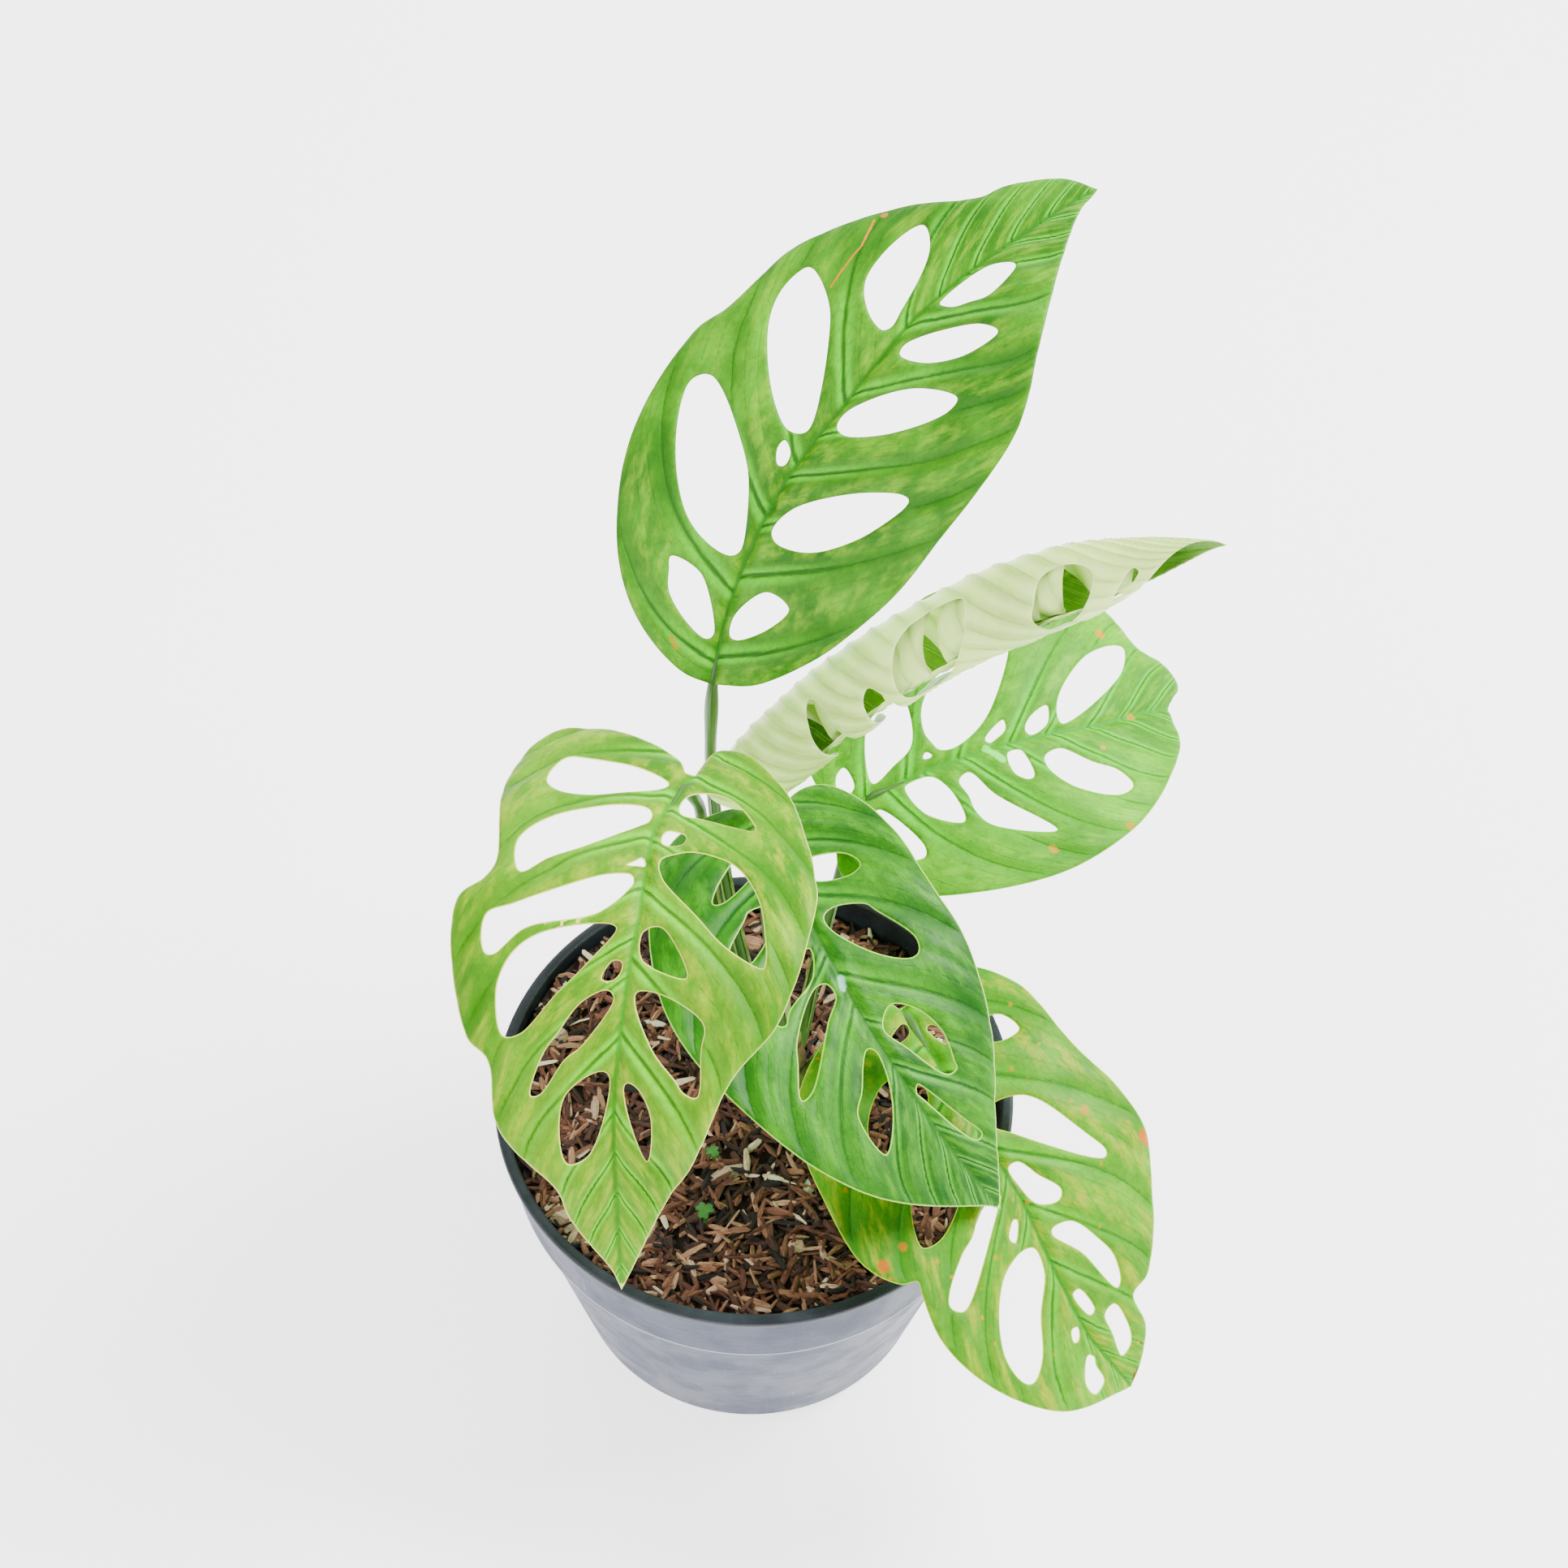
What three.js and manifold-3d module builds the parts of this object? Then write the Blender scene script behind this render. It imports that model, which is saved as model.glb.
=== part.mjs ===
// Potted esqueleto monstera: six windowed leaves on a short crown in a black-lined nursery pot.
// Millimetres, +Z up. The origin is the centre of the pot's underside, and the plant is seen from -Y.
import * as THREE from "three";
import { mergeVertices } from "three/addons/utils/BufferGeometryUtils.js";
import Module from "manifold-3d";

const wasm = await Module();
wasm.setup();

// Pot
const RIM_RADIUS = 85;
const POT_HEIGHT = 117;
const LIP_HEIGHT = 3;
const LIP_WIDTH = 2.2;
const COLLAR_DROP = 31;
const COLLAR_RADIUS = 80.5;
const COLLAR_STEP = 1.2;
const BASE_RADIUS = 61;
const BASE_CHAMFER = 2;
const WALL = 1.6;
const FLOOR = 1.7;
const POT_SIDES = 48;
const DRAIN_HOLES = 6;
const DRAIN_RADIUS = 4.5;
const DRAIN_CIRCLE = 42;

// Potting mix
const GAP = 0.3;
const SOIL_EDGE_HEIGHT = 104;
const SOIL_CROWN = 2.5;
const CHIP_COUNT = 74;
const CHIP_LENGTH = 18;
const CHIP_WIDTH = 6.4;
const CHIP_THICKNESS = 3.6;

// Stem and leaf stalks
const STEM_RADIUS = 6.6;
const STEM_SIDES = 12;
const ROOT_RADIUS = 1.7;
const STALK_BASE_RADIUS = 2.8;
const STALK_TOP_RADIUS = 2;
const STALK_SIDES = 8;
const STALK_STEPS = 12;
const STALK_END_GAP = 0.35;

// Blades
const BLADE_THICKNESS = 0.8;
const MARGIN_STEP = 6;
const WINDOW_STEP = 4.4;
const LATTICE_STEP = 9.5;
const ROLL_SCALE = 10;

const rad = THREE.MathUtils.degToRad;
const lerp = THREE.MathUtils.lerp;

// Leaves. Turns are heading, pitch and roll in degrees at even steps from the heel to the tip.
// Right and left give the rise of each half at heel and tip, then its droop per 100 mm there.
// Outlines and windows are points of distance along the midrib and distance to its right.
const LEAVES = {
  back_tall: {
    colour: 0x4f8f3a,
    base: [-16, 60, 252],
    heel: 30,
    length: 196,
    turns: [[92, 38, 0], [65, 48, 0], [44, 40, 0], [33, 30, 0], [22, 18, 0]],
    right: [14, 8, 45, 30],
    left: [14, 8, 45, 30],
    midrib: [0, -1, -1, 1, -1, 0, 0],
    leftMargin: [[2, -1], [4, -10], [19, -31], [47, -49], [85, -57], [97, -52], [122, -48],
      [149, -32], [167, -18], [173, -17], [189, -9], [196, 0]],
    rightMargin: [[2, 1], [5, 14], [18, 29], [39, 42], [61, 50], [106, 55], [132, 51], [157, 34],
      [189, 4], [193, 2], [196, 0]],
    windows: [
      [[41, -5.5], [41, -12], [47.5, -25.5], [75.5, -46], [80, -40.5], [65.5, -13.5], [44, -3.5]],
      [[34, -23], [30.5, -22], [24.5, -19.5], [15, -5], [17, -3], [32.5, -12]],
      [[119, -39], [111, -40.5], [99.5, -35], [81, -9.5], [84, -3.5], [95.5, -7.5], [115, -23.5]],
      [[78, -8], [75, -8.5], [71, -5.5], [72, -3.5], [76, -4]],
      [[149.5, -22.5], [128.5, -22], [122, -13.5], [121, -5.5], [123.5, -4], [128.5, -5.5],
        [146, -13.5]],
      [[138.5, 2], [156, 3], [163, 8], [162.5, 10], [151, 12], [145, 9], [140.5, 6]],
      [[119.5, 5], [123, 4], [143.5, 18], [146, 24], [134, 22.5], [123, 14]],
      [[90.5, 4.5], [95, 3.5], [114.5, 16.5], [122.5, 31], [117.5, 31.5], [101, 22], [90.5, 9]],
      [[53, 3.5], [62.5, 6.5], [87.5, 36], [87.5, 39], [68, 32], [53.5, 18.5], [50.5, 6.5]],
      [[24, 2], [35.5, 10], [33.5, 18.5], [24.5, 14], [17.5, 5], [18, 2.5]],
    ],
  },
  front_left: {
    colour: 0x8fc23f,
    base: [-22, 35, 240],
    heel: 36,
    length: 182,
    turns: [[-112, 25, 0], [-105, 22, 0], [-97, -22, 0], [-90, -58, 0], [-82, -68, 0]],
    right: [10, 8, 65, 40],
    left: [10, 8, 60, 40],
    midrib: [0, 2, -1, 0, 1, 0, 0],
    leftMargin: [[-2, -1], [-19, -3], [-22, -11], [-4, -32], [29, -48], [55, -51], [89, -45],
      [107, -33], [138, -21], [148, -15], [181, 0]],
    rightMargin: [[-2, 2], [-8, 7], [-12, 45], [-4, 52], [16, 54], [51, 45], [56, 47], [62, 54],
      [100, 45], [106, 38], [123, 35], [132, 29], [143, 18], [154, 14], [172, 3], [181, 0]],
    windows: [
      [[17, 39.5], [5.5, 39.5], [3, 37.5], [3, 32], [2.5, 18.5], [6, 5], [8.5, 4.5], [17.5, 18],
        [20.5, 34]],
      [[24, 4.5], [21.5, 7.5], [32, 33.5], [42, 40.5], [53, 36.5], [47.5, 29.5], [42, 20], [30, 6],
        [28, 4.5]],
      [[46, 6], [44.5, 4.5], [42, 2], [44, 1], [45.5, 3]],
      [[49, 4.5], [63, 36], [66.5, 43.5], [77, 42], [77.5, 39.5], [69.5, 31.5], [62, 11], [54, 4],
        [51, 3]],
      [[65, 7], [70, 26], [76, 33.5], [86, 37], [99, 34], [98, 29], [86, 19.5], [77, 12], [66, 5]],
      [[81, 7], [75.5, 4.5], [75.5, 2], [78.5, 2], [81, 4]],
      [[115, 25], [103.5, 22], [97, 18], [88, 12], [84, 5], [86, 3], [100, 11], [104, 15.5],
        [114.5, 22.5]],
      [[107, 4.5], [114.5, 15], [133, 15.5], [135.5, 13.5], [132.5, 8], [109, 2.5]],
      [[110, -3], [111.5, -2], [134.5, -9], [119.5, -10], [111.5, -6]],
      [[84, -3.5], [83.5, -10], [91, -23.5], [99, -23.5], [113, -23], [112, -19.5], [108, -16.5],
        [99, -9]],
      [[66, -3], [72, -3], [75, -5], [78, -17.5], [64, -8]],
      [[42, -3.5], [38, -10], [39, -23.5], [51, -34.5], [72, -39], [72, -37], [67, -27],
        [59, -17.5], [48, -5]],
      [[32.5, -1.5], [30, -3], [31, -8], [35, -8], [36, -2.5]],
      [[10, -3.5], [6, -10], [8, -17.5], [19, -26.5], [21, -25.5], [21.5, -10], [20.5, -3.5]],
    ],
  },
  middle: {
    colour: 0x3c7d33,
    base: [2, 42, 200],
    heel: 30,
    length: 145,
    turns: [[-80, 10, 0], [-68, 0, 0], [-56, -20, 0], [-42, -40, 0], [-29, -45, 0]],
    right: [10, 6, 40, 30],
    left: [10, 6, 40, 30],
    midrib: [0, -1, -1, 0, 0, 0, 0],
    leftMargin: [[1, -1], [-14, -12], [-16, -22], [-10, -30], [7, -38], [43, -42], [65, -43],
      [101, -33], [134, -10], [145, 0]],
    rightMargin: [[1, 1], [-13, 4], [-4, 31], [40, 53], [77, 47], [109, 32], [141, 2.5], [145, 0]],
    windows: [
      [[18, 24.5], [18.5, 21], [9, 5], [4, 5.5], [4, 9.5]],
      [[24, 15], [26.5, 18], [35.5, 28], [39.5, 26], [35.5, 16], [25, 7.5]],
      [[42, 3.5], [50, 7], [56, 19.5], [59, 23], [58, 25], [42, 7]],
      [[54, 4.5], [53.5, 8], [64.5, 22.5], [69.5, 26], [78, 31.5], [77.5, 27], [63.5, 10],
        [58.5, 4]],
      [[77, 4.5], [79, 2.5], [94, 7.5], [104, 19.5], [90.5, 19.5], [86, 14]],
      [[15, -21], [21, -24], [23.5, -20], [21, -8.5], [15, -5.5], [12.5, -8]],
      [[34, -6], [32.5, -10], [36, -19.5], [39, -21], [54, -28], [59, -26.5], [59.5, -23.5],
        [53, -15], [38, -5.5]],
      [[69.5, -10], [75.5, -16.5], [87, -19.5], [97, -17.5], [99.5, -17], [99, -13.5], [83.5, -7],
        [74.5, -4]],
      [[95, -3], [98, -4.5], [114.5, -9.5], [123, -11.5], [123, -9], [99.5, -2], [97, -1.5]],
    ],
  },
  back_right: {
    colour: 0x6ea24d,
    base: [32.4, 60.4, 196],
    heel: 36,
    length: 128,
    turns: [[14, 10, 18], [18, 12, 18], [23, 4, 18], [29, -14, 18], [36, -42, 18]],
    right: [10, 6, 30, 20],
    left: [10, 6, 30, 20],
    midrib: [0, -2, -2, 0, 2, 1, 0],
    leftMargin: [[-1, -1], [-7, -3], [-12, -8], [-12, -23], [-4, -37], [14, -47], [35, -53],
      [46, -57], [77, -53], [105, -37], [109, -25], [116, -17], [122, -8], [128, 0]],
    rightMargin: [[-1, 2], [-12, 11], [-13, 25], [10, 38], [49, 45], [75, 40], [104, 22], [113, 12],
      [120, 6], [128, 0]],
    windows: [
      [[-2, -12], [-5, -10.5], [-6.5, -6], [-5, -3], [-1, -5]],
      [[8, -19], [5, -4], [13, -7], [21, -11.5], [24.5, -25], [22, -32.5], [18.5, -32]],
      [[23, -6], [24, -7.5], [25, -7.5], [26, -6], [24.5, -5.5]],
      [[29.5, -23], [26.5, -14], [27.5, -10], [29, -7], [34, -6], [47.5, -12], [65, -35.5],
        [63.5, -39], [53.5, -40.5]],
      [[44, -5], [52, -9], [51.5, -6], [47.5, -4], [45, -3.5]],
      [[60.5, -7], [67.5, -9], [65.5, -3.5], [59, -1.5], [57.5, -3.5]],
      [[72, -10], [89.5, -22], [104.5, -22], [100, -14], [70, -2]],
      [[14, 1.5], [15.5, 0], [23, 0.5], [27.5, 7.5], [27.5, 18.5], [17.5, 12]],
      [[31, 5], [35, 3.5], [40, 13.5], [53.5, 31.5], [35, 22.5], [32, 16], [32, 11]],
      [[49, 2], [53.5, 2.5], [54, 12], [52, 12.5], [48.5, 9]],
      [[60, 7], [66, 6], [74.5, 14], [81.5, 19], [84, 25], [78.5, 27], [65, 20], [59.5, 11]],
      [[4, 5], [13, 21.5], [12, 25], [7, 24], [0.5, 6.5]],
    ],
  },
  lower_right: {
    colour: 0x7bab45,
    base: [47.4, 10.8, 150],
    heel: 30,
    length: 147,
    turns: [[-70, 5, 0], [-63, 0, 0], [-55, -25, 0], [-46, -40, 0], [-37, -50, 0]],
    right: [10, 6, 40, 30],
    left: [10, 6, 40, 30],
    midrib: [0, -1, -1, -2, 1, 3, 0],
    leftMargin: [[-1, -1], [-8, -16], [-5, -28], [8, -38], [42, -45], [59, -50], [81, -51],
      [101, -42], [107, -39], [121, -26], [123, -18], [135, -16], [143, -8], [147, 0]],
    rightMargin: [[-1, 1], [-5, 5], [-4, 15], [1, 28], [17, 47], [29, 52], [42, 54], [64, 54],
      [74, 47], [76, 42], [79, 43], [93, 46], [112, 41], [133, 26], [144, 6], [147, 0]],
    windows: [
      [[68.5, 35], [69.5, 28], [61, 15], [57.5, 15], [52, 23], [53.5, 28.5]],
      [[70, 14], [74, 19], [77, 25.5], [86.5, 37.5], [90, 34.5], [71, 6.5], [68.5, 4], [66, 4.5]],
      [[77, 4.5], [77.5, 3.5], [79, 4], [83, 8], [81, 9]],
      [[88, 3.5], [96.5, 5], [106, 13.5], [116, 21.5], [119.5, 28.5], [118, 31], [107.5, 31.5],
        [90, 18], [86.5, 8]],
      [[16, -27], [23.5, -30], [25, -22], [21.5, -16.5], [15.5, -19]],
      [[45, -20], [66.5, -31.5], [75.5, -34.5], [77, -33], [54, -10.5], [48, -5.5], [43, -7.5]],
      [[62.5, -3.5], [62.5, -7], [69.5, -10.5], [77.5, -14.5], [80, -12], [77, -5.5], [69.5, -3.5]],
      [[88, -4.5], [86.5, -5.5], [88, -12], [98.5, -17], [107.5, -19], [116, -16.5], [117, -14.5],
        [99, -10]],
      [[108, 0], [107.5, -1.5], [108.5, -3], [117, -3.5], [117, -1]],
      [[121, -5.5], [120.5, -10.5], [127, -11], [135, -8.5], [136, -3], [127, -4.5]],
      [[116.5, 7.5], [116.5, 6], [117.5, 5], [120.5, 7.5], [120, 9]],
      [[126.5, 7.5], [128.5, 6], [131, 7], [137, 7.5], [137.5, 13], [132.5, 14]],
      [[21.5, 17], [27, 8], [31, 8], [40, 18], [42.5, 29], [34, 31.5]],
      [[5, 3], [6, 1.5], [9.5, 3], [11, 8], [9.5, 9.5]],
      [[9, -5], [10, -6.5], [17, -8], [17.5, -6.5], [10, -3.5]],
    ],
  },
  young_rolled: {
    colour: 0xcfe08a,
    base: [-1.5, 54.5, 219],
    heel: 14,
    length: 175,
    turns: [[27, 46, 0], [13, 46, 0], [1, 42, 0], [-7, 34, 0], [-14, 28, 0]],
    rollRadius: [9.5, 11, 11.8, 12.3, 13.2, 13.6, 12, 8.6, 2.6],
    coilSpacing: [3, 3.4, 3.6, 3.6, 3.6, 2.4, 1.5],
    rollStart: -45,
    leftMargin: [[-6, 47], [-13, 36], [-14, 22], [-6, 8], [10, 1], [24, -3], [34, 1], [46, -5],
      [60, -3], [66, -6], [82, -3], [96, 0], [108, -4], [124, -3], [138, 0], [150, 6], [162, 18],
      [172, 34], [175, 44]],
    rightMargin: [[-6, 49], [-14, 60], [-13, 76], [-2, 88], [30, 94], [70, 93], [105, 86],
      [135, 74], [160, 60], [175, 44]],
    windows: [
      [[74, 21], [96, 21], [94, 15], [80, 5], [74, 2], [68, 1.5], [63, 3], [61, 6], [64, 13]],
      [[114, 9], [117, 13], [122, 19], [132, 20], [137, 16], [133, 9], [120, 2], [116, 3]],
      [[33, 17], [37, 22], [39, 16], [36, 12], [29, 4], [25, 10]],
      [[50, 10], [54, 14], [57, 13], [57, 8], [54, 4], [49, 2], [46, 5]],
      [[139, 5], [142, 8], [149, 14], [150, 12], [141, 4.5]],
      [[84, 64], [100, 70], [104, 80], [88, 82], [76, 72]],
      [[48, 66], [64, 72], [66, 82], [52, 84], [40, 74]],
      [[118, 60], [132, 62], [134, 68], [120, 70]],
      [[20, 68], [32, 72], [34, 82], [20, 82], [10, 74]],
    ],
  },
};

// Stalks run from the stem to the blade's base.
const STALKS = {
  back_tall: [[10, 10, 110], [6.5, 13.5, 120], [0.5, 20, 132], [-5, 30, 146], [-11, 45, 167],
    [-14.5, 59, 186], [-16, 64, 206], [-16, 62, 232], [-16, 62.2, 254]],
  front_left: [[12, 7, 106], [4, 8, 117], [-5, 16, 131], [-10.5, 28, 145], [-14.5, 39, 160],
    [-18, 51, 182], [-19, 52.5, 199], [-21, 43, 220], [-22, 35, 240]],
  middle: [[11, 9, 112], [8.5, 13.5, 127], [6, 22, 145], [3, 31, 168], [2, 37, 187],
    [2.5, 39.6, 200.3]],
  back_right: [[11, 10, 114], [15, 19, 121], [19, 31, 138], [24, 45, 160], [29.5, 57, 181],
    [34.8, 61, 196.5]],
  lower_right: [[12, 8, 108], [19, 10, 115], [26, 12, 125], [35, 13, 138], [42, 12, 145.5],
    [48.2, 8.9, 150.2]],
  young_rolled: [[8, 14, 118], [9, 22, 130], [6, 36, 147], [0, 52, 166], [-5, 61, 182],
    [-6, 64, 198], [-5.5, 61.5, 207], [-4.6, 58.5, 214]],
};

const STEM = [[14, 4, 60], [14, 5, 84], [13, 6, 100], [10, 12, 118], [7, 18, 130]];
const ROOTS = [
  [[14, 4, 66], [28, 14, 52], [40, 18, 34]],
  [[14, 4, 66], [2, 18, 50], [-14, 26, 36]],
  [[14, 4, 64], [6, -14, 48], [-6, -28, 30]],
  [[14, 4, 64], [30, -12, 46], [36, -30, 28]],
];
const SEEDLINGS = [
  { name: "clover_seedling_front", at: [-15, -45], height: 11, leaflet: 3.4, turn: 20 },
  { name: "clover_seedling_inner", at: [-13, -22], height: 8, leaflet: 2.6, turn: 65 },
];

// Seeded draws between 0 and 1
function randomDraws(seed) {
  let state = seed;
  return () => {
    state = (state + 0x6d2b79f5) | 0;
    let t = Math.imul(state ^ (state >>> 15), 1 | state);
    t = (t + Math.imul(t ^ (t >>> 7), 61 | t)) ^ t;
    return ((t ^ (t >>> 14)) >>> 0) / 4294967296;
  };
}

// A closed geometry from points and triangles
function geometryFrom(points, triangles) {
  const geometry = new THREE.BufferGeometry();
  geometry.setAttribute("position", new THREE.Float32BufferAttribute(points.flat(), 3));
  geometry.setIndex(triangles.flat());
  return geometry;
}

// A three.js geometry as a solid, with its shared corners merged and its slivers dropped
function solidFrom(geometry) {
  const bare = geometry.clone();
  bare.deleteAttribute("normal");
  bare.deleteAttribute("uv");
  const merged = mergeVertices(bare, 1e-3);
  const index = merged.index.array;
  const kept = [];
  for (let i = 0; i < index.length; i += 3) {
    const [a, b, c] = [index[i], index[i + 1], index[i + 2]];
    if (a !== b && b !== c && c !== a) kept.push(a, b, c);
  }
  return new wasm.Manifold(new wasm.Mesh({
    numProp: 3,
    vertProperties: new Float32Array(merged.attributes.position.array),
    triVerts: new Uint32Array(kept),
  }));
}

function geometryOf(solid) {
  const mesh = solid.getMesh();
  const geometry = new THREE.BufferGeometry();
  geometry.setAttribute("position", new THREE.BufferAttribute(new Float32Array(mesh.vertProperties), 3));
  geometry.setIndex(new THREE.BufferAttribute(new Uint32Array(mesh.triVerts), 1));
  return geometry;
}

// The largest body of a solid that a cut has left in several
function largestBody(solid) {
  return solid.decompose().reduce((best, body) => (body.volume() > best.volume() ? body : best));
}

function nodeOf(name, geometry, colour, roughness) {
  const side = THREE.DoubleSide;
  const material = new THREE.MeshStandardMaterial({ color: colour, roughness, metalness: 0, side });
  const mesh = new THREE.Mesh(geometry, material);
  mesh.name = name;
  return mesh;
}

function curveThrough(points, closed = false) {
  const vectors = points.map(([x, y, z = 0]) => new THREE.Vector3(x, y, z));
  return new THREE.CatmullRomCurve3(vectors, closed, "centripetal");
}

// A round bar along a curve, with a radius that follows the distance along it and, where it's to
// make room for another bar, with both ends lengthened
function barAlong(points, radiusAt, steps, sides, lengthen = 0) {
  const vectors = points.map((point) => new THREE.Vector3(...point));
  const last = vectors.length - 1;
  const first = vectors[0].clone().sub(vectors[1]).setLength(lengthen).add(vectors[0]);
  vectors[last].add(vectors[last].clone().sub(vectors[last - 1]).setLength(lengthen));
  const curve = new THREE.CatmullRomCurve3([first, ...vectors.slice(1)], false, "centripetal");
  const { normals, binormals } = curve.computeFrenetFrames(steps);
  const corners = [];
  const triangles = [];
  for (let i = 0; i <= steps; i++) {
    const centre = curve.getPointAt(i / steps);
    const radius = radiusAt(i / steps);
    for (let j = 0; j < sides; j++) {
      const angle = (2 * Math.PI * j) / sides;
      const corner = centre.clone()
        .addScaledVector(normals[i], radius * Math.cos(angle))
        .addScaledVector(binormals[i], radius * Math.sin(angle));
      corners.push(corner.toArray());
    }
  }
  for (let i = 0; i < steps; i++) {
    for (let j = 0; j < sides; j++) {
      const a = i * sides + j;
      const b = i * sides + ((j + 1) % sides);
      triangles.push([a, b, b + sides], [a, b + sides, a + sides]);
    }
  }
  const start = corners.push(curve.getPointAt(0).toArray()) - 1;
  const end = corners.push(curve.getPointAt(1).toArray()) - 1;
  for (let j = 0; j < sides; j++) {
    const next = (j + 1) % sides;
    triangles.push([start, next, j], [end, steps * sides + j, steps * sides + next]);
  }
  return solidFrom(geometryFrom(corners, triangles));
}

// A value between evenly spaced ones, at u from 0 to 1
function between(values, u) {
  const place = THREE.MathUtils.clamp(u, 0, 1) * (values.length - 1);
  const low = Math.min(Math.floor(place), values.length - 2);
  return lerp(values[low], values[low + 1], place - low);
}

// The midrib's line in space, walked in small steps both ways from the blade's base
function spineOf(leaf) {
  const step = 0.5;
  const total = leaf.heel + leaf.length;
  const heelSteps = Math.round(leaf.heel / step);
  const count = heelSteps + Math.round(leaf.length / step) + 1;
  const angles = (i) => {
    const u = (i * step) / total;
    return [0, 1, 2].map((k) => rad(between(leaf.turns.map((turn) => turn[k]), u)));
  };
  const ahead = (i) => {
    const [yaw, pitch] = angles(i);
    return new THREE.Vector3(Math.cos(yaw), Math.sin(yaw), Math.tan(pitch)).normalize();
  };
  const places = [new THREE.Vector3()];
  for (let i = 1; i < count; i++) {
    const stride = ahead(i - 1).add(ahead(i)).multiplyScalar(step / 2);
    places.push(places[i - 1].clone().add(stride));
  }
  const shift = new THREE.Vector3(...leaf.base).sub(places[heelSteps]);
  return (s) => {
    const place = THREE.MathUtils.clamp((s + leaf.heel) / step, 0, count - 1.001);
    const low = Math.floor(place);
    const point = places[low].clone().lerp(places[low + 1], place - low).add(shift);
    const [yaw, pitch, roll] = angles(place);
    const left = new THREE.Vector3(-Math.sin(yaw), Math.cos(yaw), 0);
    const up = new THREE.Vector3(Math.cos(yaw), Math.sin(yaw), 0).multiplyScalar(-Math.sin(pitch));
    up.z = Math.cos(pitch);
    const right = left.clone().multiplyScalar(-Math.cos(roll)).addScaledVector(up, -Math.sin(roll));
    const normal = left.multiplyScalar(-Math.sin(roll)).addScaledVector(up, Math.cos(roll));
    return { point, right, normal };
  };
}

// A flat blade that rises from its midrib and droops to its margins
function archedSurface(leaf) {
  const spine = spineOf(leaf);
  return (s, t) => {
    const { point, right, normal } = spine(s);
    const along = THREE.MathUtils.clamp((s + leaf.heel) / (leaf.heel + leaf.length), 0, 1);
    const middle = between(leaf.midrib, s / leaf.length);
    const side = t >= middle ? 1 : -1;
    const [riseHeel, riseTip, droopHeel, droopTip] = side > 0 ? leaf.right : leaf.left;
    const rise = rad(lerp(riseHeel, riseTip, along));
    const droop = rad(lerp(droopHeel, droopTip, along)) / 100;
    const reach = Math.abs(t - middle);
    const across = (Math.sin(rise) - Math.sin(rise - droop * reach)) / droop;
    const height = (Math.cos(rise - droop * reach) - Math.cos(rise)) / droop;
    return point.addScaledVector(right, middle + side * across).addScaledVector(normal, height);
  };
}

// A young blade wound round its own axis, with t measured on a roll of 10 mm radius
function rolledSurface(leaf) {
  const spine = spineOf(leaf);
  return (s, t) => {
    const { point, right, normal } = spine(s);
    const along = (s + leaf.heel) / (leaf.heel + leaf.length);
    const turn = t / ROLL_SCALE;
    const inward = (between(leaf.coilSpacing, along) * turn) / (2 * Math.PI);
    const radius = between(leaf.rollRadius, along) - inward;
    const angle = rad(leaf.rollStart) + turn;
    return point
      .addScaledVector(right, radius * Math.cos(angle))
      .addScaledVector(normal, radius * Math.sin(angle));
  };
}

// Evenly spaced points on a smooth line through the given ones
function sampled(points, closed, step) {
  const curve = curveThrough(points, closed);
  const count = Math.max(closed ? 6 : 2, Math.round(curve.getLength() / step));
  return curve.getSpacedPoints(count).slice(0, count).map((p) => [p.x, p.y]);
}

function isInside(loop, x, y) {
  let inside = false;
  for (let i = 0, j = loop.length - 1; i < loop.length; j = i++) {
    const [xi, yi] = loop[i];
    const [xj, yj] = loop[j];
    if (yi > y !== yj > y && x < ((xj - xi) * (y - yi)) / (yj - yi) + xi) inside = !inside;
  }
  return inside;
}

// Delaunay triangles of flat points
function delaunay(points) {
  const far = 4000;
  const all = [...points, [-far, -far], [far, -far], [0, far]];
  const n = points.length;
  const circleOf = (a, b, c) => {
    const [ax, ay] = all[a];
    const [bx, by] = [all[b][0] - ax, all[b][1] - ay];
    const [cx, cy] = [all[c][0] - ax, all[c][1] - ay];
    const d = 2 * (bx * cy - by * cx);
    const x = (cy * (bx * bx + by * by) - by * (cx * cx + cy * cy)) / d;
    const y = (bx * (cx * cx + cy * cy) - cx * (bx * bx + by * by)) / d;
    return { corners: [a, b, c], x: x + ax, y: y + ay, reach: x * x + y * y };
  };
  let found = [circleOf(n, n + 1, n + 2)];
  points.forEach(([x, y], p) => {
    const edges = new Map();
    found = found.filter((circle) => {
      if ((circle.x - x) ** 2 + (circle.y - y) ** 2 >= circle.reach) return true;
      const [a, b, c] = circle.corners;
      for (const [u, v] of [[a, b], [b, c], [c, a]]) {
        const twin = `${v},${u}`;
        if (edges.has(twin)) edges.delete(twin);
        else edges.set(`${u},${v}`, [u, v]);
      }
      return false;
    });
    for (const [u, v] of edges.values()) found.push(circleOf(u, v, p));
  });
  return found.map((circle) => circle.corners).filter((corners) => Math.max(...corners) < n);
}

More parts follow.
